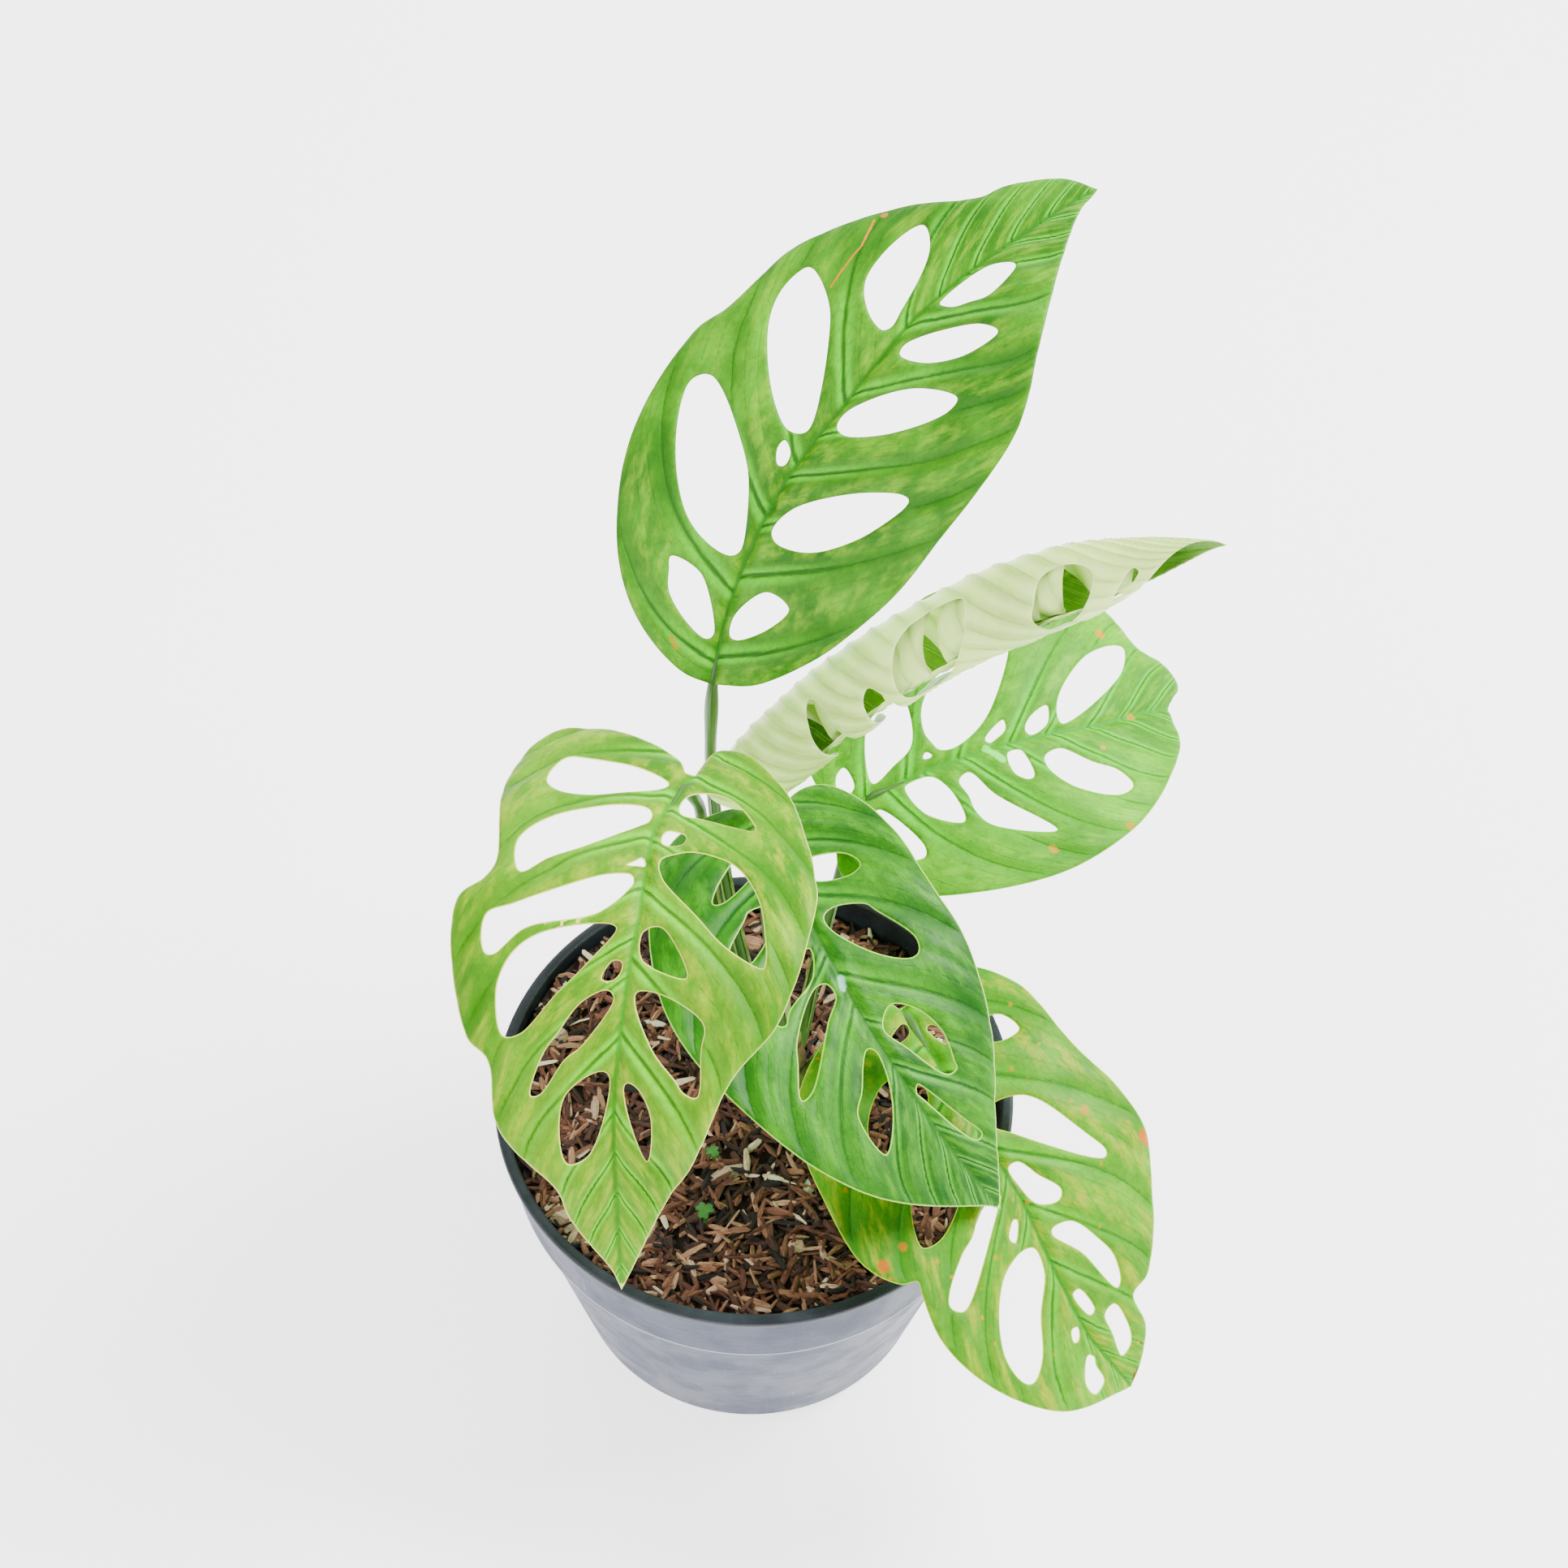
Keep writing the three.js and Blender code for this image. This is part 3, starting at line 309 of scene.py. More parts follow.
            ((108, 0), (107.5, -1.5), (108.5, -3), (117, -3.5), (117, -1)),
            ((121, -5.5), (120.5, -10.5), (127, -11), (135, -8.5), (136, -3), (127, -4.5)),
            ((116.5, 7.5), (116.5, 6), (117.5, 5), (120.5, 7.5), (120, 9)),
            ((126.5, 7.5), (128.5, 6), (131, 7), (137, 7.5), (137.5, 13), (132.5, 14)),
            ((21.5, 17), (27, 8), (31, 8), (40, 18), (42.5, 29), (34, 31.5)),
            ((5, 3), (6, 1.5), (9.5, 3), (11, 8), (9.5, 9.5)),
            ((9, -5), (10, -6.5), (17, -8), (17.5, -6.5), (10, -3.5)),
        ),
        "marks": (
            (7.86, -4.75, 8.2, -4.9, 0.24, "C16100"),
            (5.91, -3.36, 5.95, -3.33, 0.18, "B88C00"),
            (6.72, 5.03, 6.75, 5.05, 0.22, "B76200"),
            (6.55, 4.17, 6.57, 4.2, 0.15, "B17500"),
            (14.5, -0.55, 14.6, -0.3, 0.2, "553300"),
        ),
        "look": {
            "dark": "2E7800",
            "light": "6CB800",
            "warm": "ABB900",
            "vein": "1A7200",
            "shoulder_highlight": "67C400",
            "midrib_colour": "1B7B00",
            "rim": "D8FF00",
            "under": "79C634",
            "spots": 0.3,
            "spot": "C48A00",
            "warm_amount": 0.75,
            "rim_width": 0.4,
            "rim_amount": 0.6,
            "spot_scale": 210.0,
            "specular": 0.16,
            "coat": 0.02,
        },
    },
    "young_rolled": {
        "slot": "leaf_pale_young",
        "base": (-1.5, 54.5, 219),
        "heel": 14,
        "length": 175,
        "turns": ((27, 46, 0), (13, 46, 0), (1, 42, 0), (-7, 34, 0), (-14, 28, 0)),
        "roll_radius": (10.4, 12.6, 13.2, 13, 12.8, 13.4, 12, 7.4, 2),
        "coil_spacing": (2.4, 2.6, 2.8, 2.8, 2.8, 2, 1.2),
        "roll_start": -45,
        "roll_midrib": 45,
        "vein_gap": 8,
        "quilt": 0.9,
        "sway": 0.5,
        "left_margin": ((-6, 47), (-13, 36), (-14, 22), (-6, 8), (10, 1), (21, -3), (25, 0), (26, 9),
            (30, 16), (35, 21), (38, 17), (36, 8), (37, 0), (41, -6), (45, -3), (46, 5), (50, 12),
            (55, 14), (57, 9), (56, 2), (57, -3), (62, -5), (66, -6), (82, -3), (96, 0), (108, -4),
            (124, -3), (138, 0), (150, 6), (162, 18), (172, 34), (175, 44)),
        "right_margin": ((-6, 49), (-14, 54), (-13, 62), (-2, 66), (30, 68), (70, 68), (105, 67),
            (135, 64), (160, 56), (175, 44)),
        "windows": (
            ((74, 21), (96, 21), (94, 15), (80, 5), (74, 2), (68, 1.5), (63, 3), (61, 6), (64, 13)),
            ((114, 9), (117, 13), (122, 19), (132, 20), (137, 16), (133, 9), (120, 2), (116, 3)),
            ((139, 5), (142, 8), (149, 14), (150, 12), (141, 4.5)),
        ),
        "look": {
            "dark": "4E9410",
            "light": "9ACB4C",
            "warm": "8CC840",
            "vein": "5E9C20",
            "shoulder_highlight": "B4DC70",
            "midrib_colour": "8CC850",
            "rim": "EAF6C0",
            "under": "C2E270",
            "warm_amount": 0.4,
            "roughness": 0.25,
            "coat": 0.15,
            "rim_width": 0.4,
            "rim_amount": 0.6,
            "under_amount": 0.92,
            # Painted light: strength of the glow painted on the young blade's outer face, standing for light
            # through it and its sheen
            "glow": 0.95,
            "specular": 0.4,
        },
    },
}

# Stalks run from the stem to the blade's base.
STALKS = {
    "back_tall": ((10, 10, 110), (6.5, 13.5, 120), (0.5, 20, 132), (-5, 30, 146), (-11, 45, 167),
        (-14.5, 59, 186), (-16, 64, 206), (-16, 62, 232), (-16, 62.2, 254)),
    "front_left": ((12, 7, 106), (4, 8, 117), (-5, 16, 131), (-10.5, 28, 145), (-14.5, 39, 160),
        (-18, 51, 182), (-19, 52.5, 199), (-21, 43, 220), (-22, 35, 240)),
    "middle": ((11, 9, 112), (8.5, 13.5, 127), (6, 22, 145), (3, 31, 168), (2, 37, 187),
        (2.5, 39.6, 200.3)),
    "back_right": ((11, 10, 114), (15, 19, 121), (19, 31, 138), (24, 45, 160), (29.5, 57, 181),
        (34.8, 61, 196.5)),
    "lower_right": ((12, 8, 108), (19, 10, 115), (26, 12, 125), (35, 13, 138), (42, 12, 145.5),
        (48.2, 8.9, 150.2)),
    "young_rolled": ((8, 14, 118), (9, 22, 130), (6, 36, 147), (0, 52, 166), (-5, 61, 182),
        (-6, 64, 198), (-5.5, 61.5, 207), (-4.6, 58.5, 214)),
}
STEM = ((14, 4, 60), (14, 5, 84), (13, 6, 100), (10, 12, 118), (7, 18, 130))
ROOTS = (
    ((14, 4, 66), (28, 14, 52), (40, 18, 34)),
    ((14, 4, 66), (2, 18, 50), (-14, 26, 36)),
    ((14, 4, 64), (6, -14, 48), (-6, -28, 30)),
    ((14, 4, 64), (30, -12, 46), (36, -30, 28)),
)
# Name, place on the mix, height, leaflet size and turn of each seedling
SEEDLINGS = (
    ("clover_seedling_front", (-15, -45), 11, 1.80336, 20),
    ("clover_seedling_inner", (-13, -22), 8, 1.37904, 65),
)
# Larger pieces of wood and perlite: place, length, width, thickness, tone and heading
CHUNKS = (
    (-8, -26, 13, 6, 3.2, 0.97, 25), (-58, -44, 15, 9, 3, 0.9, -25), (-33, -48, 12, 5, 2.6, 0.88, 60),
    (14, -52, 7, 6, 4, 0.86, 10), (-66, 22, 8, 6.5, 4.5, 0.93, 40), (18, -30, 6, 5, 3, 1.5, 70),
    (46, -44, 12, 5.5, 3.4, 0.84, 15), (28, -58, 11, 5, 3, 0.9, 5), (60, -20, 9, 6, 3, 0.8, 100),
    (-44, 40, 12, 6, 3, 0.78, 130), (40, 48, 13, 6, 3, 0.82, 35), (-2, 64, 11, 6, 3, 0.72, 160),
    (62, 26, 6, 5, 3.4, 1.5, 30), (-30, 4, 12, 6, 3, 0.75, 80), (-12, 42, 7, 5, 3, 1.5, 20),
)
# Chips: name, seed, lengths, widths, thicknesses, middle and spread of the tone, height over the mix
CHIP_LAYERS = (
    # The lower layer's darker tone is painted shade in the gaps between the top chips.
    ("bark_chips_under", 5, (5, 12, 8), (1.3, 2.6), (0.7, 1.3), (0.27, 0.2), (0.0, 1.2)),
    ("bark_chips_top", 8, (5, 13, 9), (1.2, 2.7), (0.7, 1.4), (0.47, 0.25), (1.0, 2.6)),
)
CHIP_SPREAD, CHUNK_SEED, CHUNK_LIFT, REDDISH_SHARE = 78.0, 13, 0.8, 0.22
# Browns of the chips, from the darkest tone to the palest
BARK_TONES = (
    (0.0, "0C0806"), (0.2, "241109"), (0.42, "5A3021"), (0.62, "8F5A41"), (0.78, "B98769"),
    (0.9, "DBB397"), (1.0, "F0E0C4"),
)
# Side veins leave the midrib at a slant and bend towards the tip near the margin.
VEIN_SLANT, VEIN_BEND = 0.15, 0.4
# Radius of the roll that the young leaf's outline is measured on
ROLL_SCALE = 10.0
# What a leaf looks like where its own look says nothing else
PLAIN_LOOK = {
    "vein_width": 0.042,
    "rim_width": 0.5,
    "spots": 0.0,
    "spot": "C78800",
    "spot_scale": 70.0,
    "shoulder_highlight_amount": 0.7,
    "vein_amount": 0.8,
    "midrib_amount": 0.8,
    "under_amount": 0.75,
    "rim_amount": 0.85,
    "roughness": 0.44,
    "specular": 0.25,
    "coat": 0.05,
    "glow": 0.0,
}
# The ribbon inside the young leaf, along its axis
COIL_START, COIL_END, COIL_TURNS, COIL_WIDTH = 12.0, 146.0, 5.2, 19.0

# The camera looks down from the photograph's height.
CAMERA_LENS, CAMERA_SENSOR, CAMERA_CLIP = 74.534, 36.0, (0.05, 20)
CAMERA_PLACE = (0.000, -547.342, 1034.083)
CAMERA_TURN = (
    (0.9997105, -0.0230161, -0.0070083),
    (0.0144315, 0.8067193, -0.5907586),
    (0.0192506, 0.5904865, 0.8068179),
)
# Lamps: name, place, size and share of the lamp power
LAMPS = (
    ("key lamp", (1.1, 0.3, 1.4), 0.7, 1.0),
    ("fill lamp", (-1.2, -0.8, 1.1), 1.4, 0.4),
    ("back lamp", (-0.3, 1.4, 1.1), 1.2, 0.25),
)
LAMP_AIM = (0, 0, 0.15)
SKY_GLOW = 0.42
FLOOR_REACH, FLOOR_DROP = 4000, 0.2


def between(values, u):
    """Evenly spaced values read at u from 0 to 1, for arrays of u."""
    values = np.asarray(values, float)
    places = np.linspace(0, 1, len(values))
    if values.ndim == 1:
        return np.interp(u, places, values)
    return np.stack([np.interp(u, places, column) for column in values.T], -1)


def spine(leaf, s):
    """Points, rightward and upward directions of the midrib at distances s."""
    step = 0.5
    total = leaf["heel"] + leaf["length"]
    walk = np.arange(-leaf["heel"], leaf["length"] + step / 2, step)

    def directions(u):
        yaw, pitch, roll = np.radians(between(leaf["turns"], u)).T
        ahead = np.stack([np.cos(pitch) * np.cos(yaw), np.cos(pitch) * np.sin(yaw), np.sin(pitch)], -1)
        left = np.stack([-np.sin(yaw), np.cos(yaw), 0 * yaw], -1)
        up = np.stack([-np.sin(pitch) * np.cos(yaw), -np.sin(pitch) * np.sin(yaw), np.cos(pitch)], -1)
        cos, sin = np.cos(roll)[:, None], np.sin(roll)[:, None]
        return ahead, -(left * cos + up * sin), up * cos - left * sin

    ahead, _, _ = directions((walk + leaf["heel"]) / total)
    places = np.vstack([np.zeros(3), np.cumsum((ahead[1:] + ahead[:-1]) / 2 * step, 0)])
    places += np.array(leaf["base"], float) - places[int(round(leaf["heel"] / step))]
    point = np.stack([np.interp(s, walk, places[:, axis]) for axis in range(3)], -1)
    _, right, up = directions((s + leaf["heel"]) / total)
    return point, right, up


def arched(leaf, s, t):
    """A flat blade that rises from its midrib and droops to its margins."""
    point, right, up = spine(leaf, s)
    along = np.clip((s + leaf["heel"]) / (leaf["heel"] + leaf["length"]), 0, 1)
    middle = midrib_at(leaf, s)

    def half(side):
        rise_heel, rise_tip, droop_heel, droop_tip = leaf[side]
        rise = np.radians(rise_heel + (rise_tip - rise_heel) * along)
        droop = np.radians(droop_heel + (droop_tip - droop_heel) * along) / 100
        turned = rise - droop * np.abs(t - middle)
        return (np.sin(rise) - np.sin(turned)) / droop, (np.cos(turned) - np.cos(rise)) / droop

    (w_right, h_right), (w_left, h_left) = half("right"), half("left")
    across = middle + np.where(t >= middle, w_right, -w_left)
    height = np.where(t >= middle, h_right, h_left)
    return point + right * across[:, None] + up * height[:, None]


def rolled(leaf, s, t):
    """A young blade wound round its own axis, with t measured on a roll of 10 mm radius."""
    point, right, up = spine(leaf, s)
    along = (s + leaf["heel"]) / (leaf["heel"] + leaf["length"])
    turn = t / ROLL_SCALE
    radius = between(leaf["roll_radius"], along) - between(leaf["coil_spacing"], along) * turn / (2 * np.pi)
    angle = np.radians(leaf["roll_start"]) + turn
    return point + right * (radius * np.cos(angle))[:, None] + up * (radius * np.sin(angle))[:, None]


def midrib_at(leaf, s):
    if "midrib" not in leaf:
        return np.full_like(s, leaf["roll_midrib"])
    return between(leaf["midrib"], np.clip(s / leaf["length"], 0, 1))


def fine_line(points, closed, fineness):
    """Close points on a centripetal Catmull-Rom line, and the distance run up to each."""
    pts = np.array(points, float)
    if closed:
        ends = np.vstack([pts[-1:], pts, pts[:2]])
    else:
        ends = np.vstack([2 * pts[0] - pts[1], pts, 2 * pts[-1] - pts[-2]])
    fine = []
    for i in range(len(ends) - 3):
        p0, p1, p2, p3 = ends[i : i + 4]
        d0, d1, d2 = (max(np.linalg.norm(b - a) ** 0.5, 1e-4) for a, b in ((p0, p1), (p1, p2), (p2, p3)))
        t1 = ((p1 - p0) / d0 - (p2 - p0) / (d0 + d1) + (p2 - p1) / d1) * d1
        t2 = ((p2 - p1) / d1 - (p3 - p1) / (d1 + d2) + (p3 - p2) / d2) * d1
        u = np.linspace(0, 1, fineness, endpoint=False)[:, None]
        fine.append(p1 + t1 * u + (3 * (p2 - p1) - 2 * t1 - t2) * u**2 + (2 * (p1 - p2) + t1 + t2) * u**3)
    fine = np.vstack(fine + [ends[-2:-1]])
    return fine, np.concatenate([[0], np.cumsum(np.linalg.norm(np.diff(fine, axis=0), axis=1))])


def points_at(places, fine, run):
    return np.stack([np.interp(places, run, column) for column in fine.T], -1)


def smooth_line(points, closed, step):
    """Evenly spaced points on a smooth line in a leaf's flat pattern."""
    fine, run = fine_line(points, closed, 24)
    steps = max(8 if closed else 2, int(round(run[-1] / step)))
    return points_at(np.linspace(0, run[-1], steps + 1)[:-1], fine, run)


def smooth_path(points, steps):
    """Evenly spaced points on a smooth line in space."""
    fine, run = fine_line(points, False, 30)
    return points_at(np.linspace(0, run[-1], steps + 1), fine, run)


def inside(loop, x, y):
    """True for each point that lies inside the loop."""
    result = np.zeros(len(x), bool)
    x1, y1 = loop[:, 0], loop[:, 1]
    x2, y2 = np.roll(x1, 1), np.roll(y1, 1)
    for ax, ay, bx, by in zip(x1, y1, x2, y2):
        if ay == by:
            continue
        crosses = (ay > y) != (by > y)
        result ^= crosses & (x < (bx - ax) * (y - ay) / (by - ay) + ax)
    return result


def on_blade(loops, x, y):
    """True for each point inside the margin and outside every window."""
    kept = inside(loops[0], x, y)
    for window in loops[1:]:
        kept &= ~inside(window, x, y)
    return kept


def rim_distance(loops, pts):
    """Distance in millimetres from each point to the nearest edge."""
    nearest = np.full(len(pts), 1e9)
    for loop in loops:
        a, b = loop, np.roll(loop, -1, 0)
        ab = b - a
        length = (ab**2).sum(1)
        for start in range(0, len(pts), 2000):
            p = pts[start : start + 2000, None, :]
            u = np.clip(((p - a) * ab).sum(2) / length, 0, 1)
            gap = np.linalg.norm(p - (a + u[..., None] * ab), axis=2).min(1)
            nearest[start : start + 2000] = np.minimum(nearest[start : start + 2000], gap)
    return nearest


def blade_pattern(leaf, spacing):
    """The blade's flat pattern: points, triangles, and each point's distance to an edge."""
    margin = np.vstack([
        smooth_line(leaf["right_margin"], False, spacing * 0.6),
        smooth_line(leaf["left_margin"][::-1], False, spacing * 0.6),
    ])
    loops = [margin] + [smooth_line(window, True, spacing * 0.5) for window in leaf["windows"]]
    low, high = margin.min(0), margin.max(0)
    rows = np.arange(low[1], high[1], spacing * math.sqrt(0.75))
    columns = np.arange(low[0] - spacing, high[0], spacing)
    x = np.concatenate([columns + (i % 2) * spacing / 2 for i in range(len(rows))])
    y = np.repeat(rows, len(columns))
    lattice = np.stack([x, y], -1)[on_blade(loops, x, y)]
    lattice = lattice[rim_distance(loops, lattice) > spacing * 0.45]
    edges, start = [], 0
    for loop in loops:
        count = len(loop)
        edges += [(start + i, start + (i + 1) % count) for i in range(count)]
        start += count
    flat = np.vstack(loops + [lattice])
    found = delaunay_2d_cdt([Vector(p) for p in flat], edges, [], 0, 1e-6)
    points = np.array([tuple(v) for v in found[0]])
    triangles = np.array([f for f in found[2] if len(f) == 3])
    triangles = triangles[on_blade(loops, *points[triangles].mean(1).T)]
    (ax, ay), (bx, by), (cx, cy) = (points[triangles[:, i]].T for i in range(3))
    turn = (bx - ax) * (cy - ay) - (by - ay) * (cx - ax)
    triangles[turn > 0] = triangles[turn > 0][:, ::-1]
    return points, triangles, rim_distance(loops, points)


def half_width(leaf, s, sign):
    """Reach of the margin from the midrib at distances s."""
    margin = smooth_line(leaf["right_margin" if sign > 0 else "left_margin"], False, 1.5)
    reach = np.abs(margin[:, 1] - midrib_at(leaf, margin[:, 0]))
    stations = np.arange(margin[:, 0].min(), margin[:, 0].max(), 4.0)
    widths = [reach[np.abs(margin[:, 0] - station) < 4].max(initial=0) for station in stations]
    return np.maximum(np.interp(s, stations, widths), 6.0)


def vein_root(leaf, s, t, sign):
    """Where on the midrib the side vein through a point starts. Veins lean more towards the tip."""
    reach = np.abs(t - midrib_at(leaf, s))
    width = half_width(leaf, s, sign)
    bend = VEIN_BEND * width * np.minimum(reach / width, 1.1) ** 4
    root = s - reach
    for _ in range(8):
        along = np.clip((root + 20) / (leaf["length"] + 20), 0, 1.1)
        root = s - bend - (VEIN_SLANT + 1.4 * along + 0.8 * along**3) * reach
    return root


def vein_starts(leaf, sign):
    """Places where side veins leave the midrib: between the windows of that half, then evenly."""
    roots = []
    for window in leaf["windows"]:
        pts = np.array(window, float)
        if (pts[:, 1].mean() - midrib_at(leaf, pts[:, :1].mean(0))[0]) * sign > 0:
            roots.append(vein_root(leaf, pts[:, 0], pts[:, 1], sign).mean())
    roots = sorted(roots) or [leaf["length"] / 2]
    gap = leaf.get("vein_gap", 20)
    merged = roots[:1]
    for place in roots[1:]:
        if place - merged[-1] > 8:
            merged.append(place)
    veins = [(a + b) / 2 for a, b in zip(merged, merged[1:])]
    veins = [merged[0] - 11, *veins, merged[-1] + 10]
    filled = []
    for a, b in zip(veins, veins[1:]):
        extra = max(1, int(round((b - a) / gap)))
        filled += [a + (b - a) * i / extra for i in range(extra)]
    filled.append(veins[-1])
    while filled[0] > -90:
        filled.insert(0, filled[0] - gap * 0.75)
    while filled[-1] < leaf["length"] + 20:
        filled.append(filled[-1] + gap * 0.65)
    return filled


def vein_phase(leaf, s, t, sign):
    """A number that grows by one from each side vein to the next."""
    starts = vein_starts(leaf, sign)
    return np.interp(vein_root(leaf, s, t, sign), starts, np.arange(len(starts)))


def relief(leaf, s, t, rim, phase, seed):
    """Height of the quilted upper face over the plain blade, in millimetres."""
    reach = np.abs(t - midrib_at(leaf, s))
    cell = np.abs(phase - np.round(phase))
    quilt = 1 - (1 - 2 * cell) ** 2.4 - 0.22 * np.exp(-(((cell - 0.5) / 0.07) ** 2))
    fade = np.clip(reach / 8, 0, 1) * np.clip(rim / 4, 0.25, 1)
    groove = -0.8 * np.exp(-((reach / 1.3) ** 2)) + 0.45 * np.exp(-(((reach - 3.2) / 2.2) ** 2))
    sway = np.zeros(len(s))
    for scale, share, layer in ((0.022, 1.0, 0), (0.06, 0.5, 9)):
        places = zip(s * scale, t * scale)
        sway += [share * noise.noise(Vector((a, b, seed + layer))) for a, b in places]
    sway *= leaf["sway"] * np.clip(reach / 12, 0, 1)
    tip = np.clip((leaf["length"] - s) / 20, 0, 1)
    return (leaf["quilt"] * (quilt - 0.55) * fade + groove + sway) * tip


def add_values(mesh, name, values):
    layer = mesh.attributes.new(name, "FLOAT_VECTOR", "POINT")
    layer.data.foreach_set("vector", np.asarray(values, np.float32).ravel())


def new_object(name, data):
    obj = bpy.data.objects.new(name, data)
    bpy.context.scene.collection.objects.link(obj)
    return obj


def mesh_from(name, points, faces, smooth=True):
    """A mesh object from points in millimetres."""
    mesh = bpy.data.meshes.new(name)
    mesh.from_pydata((np.asarray(points, float) * MM).tolist(), [], [list(map(int, f)) for f in faces])
    mesh.update()
    mesh.polygons.foreach_set("use_smooth", [smooth] * len(mesh.polygons))
    return new_object(name, mesh)


def blade_object(name, leaf, spacing, thickness, seed):
    """A leaf blade with two faces, rounded rims and its veins' coordinates."""
    points, triangles, rim = blade_pattern(leaf, spacing)
    s, t = points[:, 0], points[:, 1]
    shape = rolled if "roll_radius" in leaf else arched
    step = 0.3
    along = shape(leaf, s + step, t) - shape(leaf, s - step, t)
    across = shape(leaf, s, t + step) - shape(leaf, s, t - step)
    normal = np.cross(across, along)
    normal /= np.linalg.norm(normal, axis=1)[:, None]
    mid = midrib_at(leaf, s)
    phases = [vein_phase(leaf, s, t, sign) for sign in (1, -1)]
    height = relief(leaf, s, t, rim, np.where(t >= mid, *phases), seed)
    middle = shape(leaf, s, t) + normal * height[:, None]
    body = np.clip(rim / 0.7, 0.35, 1)[:, None] * thickness / 2
    rib = 0.9 * np.exp(-(((t - mid) / 1.3) ** 2)) * np.clip(1 - s / leaf["length"], 0.1, 1)
    lower = middle - normal * (body + rib[:, None])
    upper = middle + normal * body
    n = len(points)
    rims = {}
    for a, b, c in triangles:
        for u, v in ((a, b), (b, c), (c, a)):
            if (v, u) in rims:
                del rims[(v, u)]
            else:
                rims[(u, v)] = True
    faces = triangles.tolist() + (triangles[:, ::-1] + n).tolist()
    faces += [(v, u, u + n, v + n) for u, v in rims]
    obj = mesh_from(name, np.vstack([upper, lower]), faces)
    pattern = np.stack([s / 10, (t - mid) / 10, rim], -1)
    veins = np.stack([*phases, np.zeros(n)], -1)
    add_values(obj.data, "pattern", np.vstack([pattern, pattern]))
    veins_below = veins.copy()
    veins_below[:, 2] = 1
    add_values(obj.data, "veins", np.vstack([veins, veins_below]))
    return obj


def tube(points, radii, sides):
    """Points and faces of a round bar along a smooth line, with closed ends."""
    line = np.array(points, float)
    count = len(line)
    ahead = np.gradient(line, axis=0)
    ahead /= np.linalg.norm(ahead, axis=1)[:, None]
    side = np.cross(ahead[0], (0.0, 0.0, 1.0) if abs(ahead[0][2]) < 0.9 else (1.0, 0.0, 0.0))
    verts = []
    for i in range(count):
        side = side - ahead[i] * (side @ ahead[i])
        side /= np.linalg.norm(side)
        up = np.cross(ahead[i], side)
        for j in range(sides):
            angle = 2 * math.pi * j / sides
            offset = side * math.cos(angle) + up * math.sin(angle)
            verts.append(line[i] + offset * radii[i])
    faces = []
    for i in range(count - 1):
        for j in range(sides):
            a, b = i * sides + j, i * sides + (j + 1) % sides
            faces.append((a, b, b + sides, a + sides))
    faces.append(tuple(range(sides))[::-1])
    faces.append(tuple(range((count - 1) * sides, count * sides)))
    return np.array(verts), faces


def lathe(name, profile, sides):
    """A turned mesh from a closed profile of radius and height that starts and ends on the axis."""
    verts, faces = [(0, 0, profile[0][1])], []
    rings = profile[1:-1]
    for radius, z in rings:
        verts += [
            (radius * math.cos(2 * math.pi * j / sides), radius * math.sin(2 * math.pi * j / sides), z)
            for j in range(sides)
        ]
    verts.append((0, 0, profile[-1][1]))
    for j in range(sides):
        k = (j + 1) % sides
        faces.append((0, 1 + k, 1 + j))
        for i in range(len(rings) - 1):
            a, b = 1 + i * sides, 1 + (i + 1) * sides
            faces.append((a + j, a + k, b + k, b + j))
        last = 1 + (len(rings) - 1) * sides
        faces.append((last + j, last + k, len(verts) - 1))
    return mesh_from(name, verts, faces)


def hue(code):
    """A linear colour from six hexadecimal digits."""
    parts = [int(code[i : i + 2], 16) / 255 for i in (0, 2, 4)]
    return (*(c / 12.92 if c <= 0.04045 else ((c + 0.055) / 1.055) ** 2.4 for c in parts), 1.0)


# Shader building


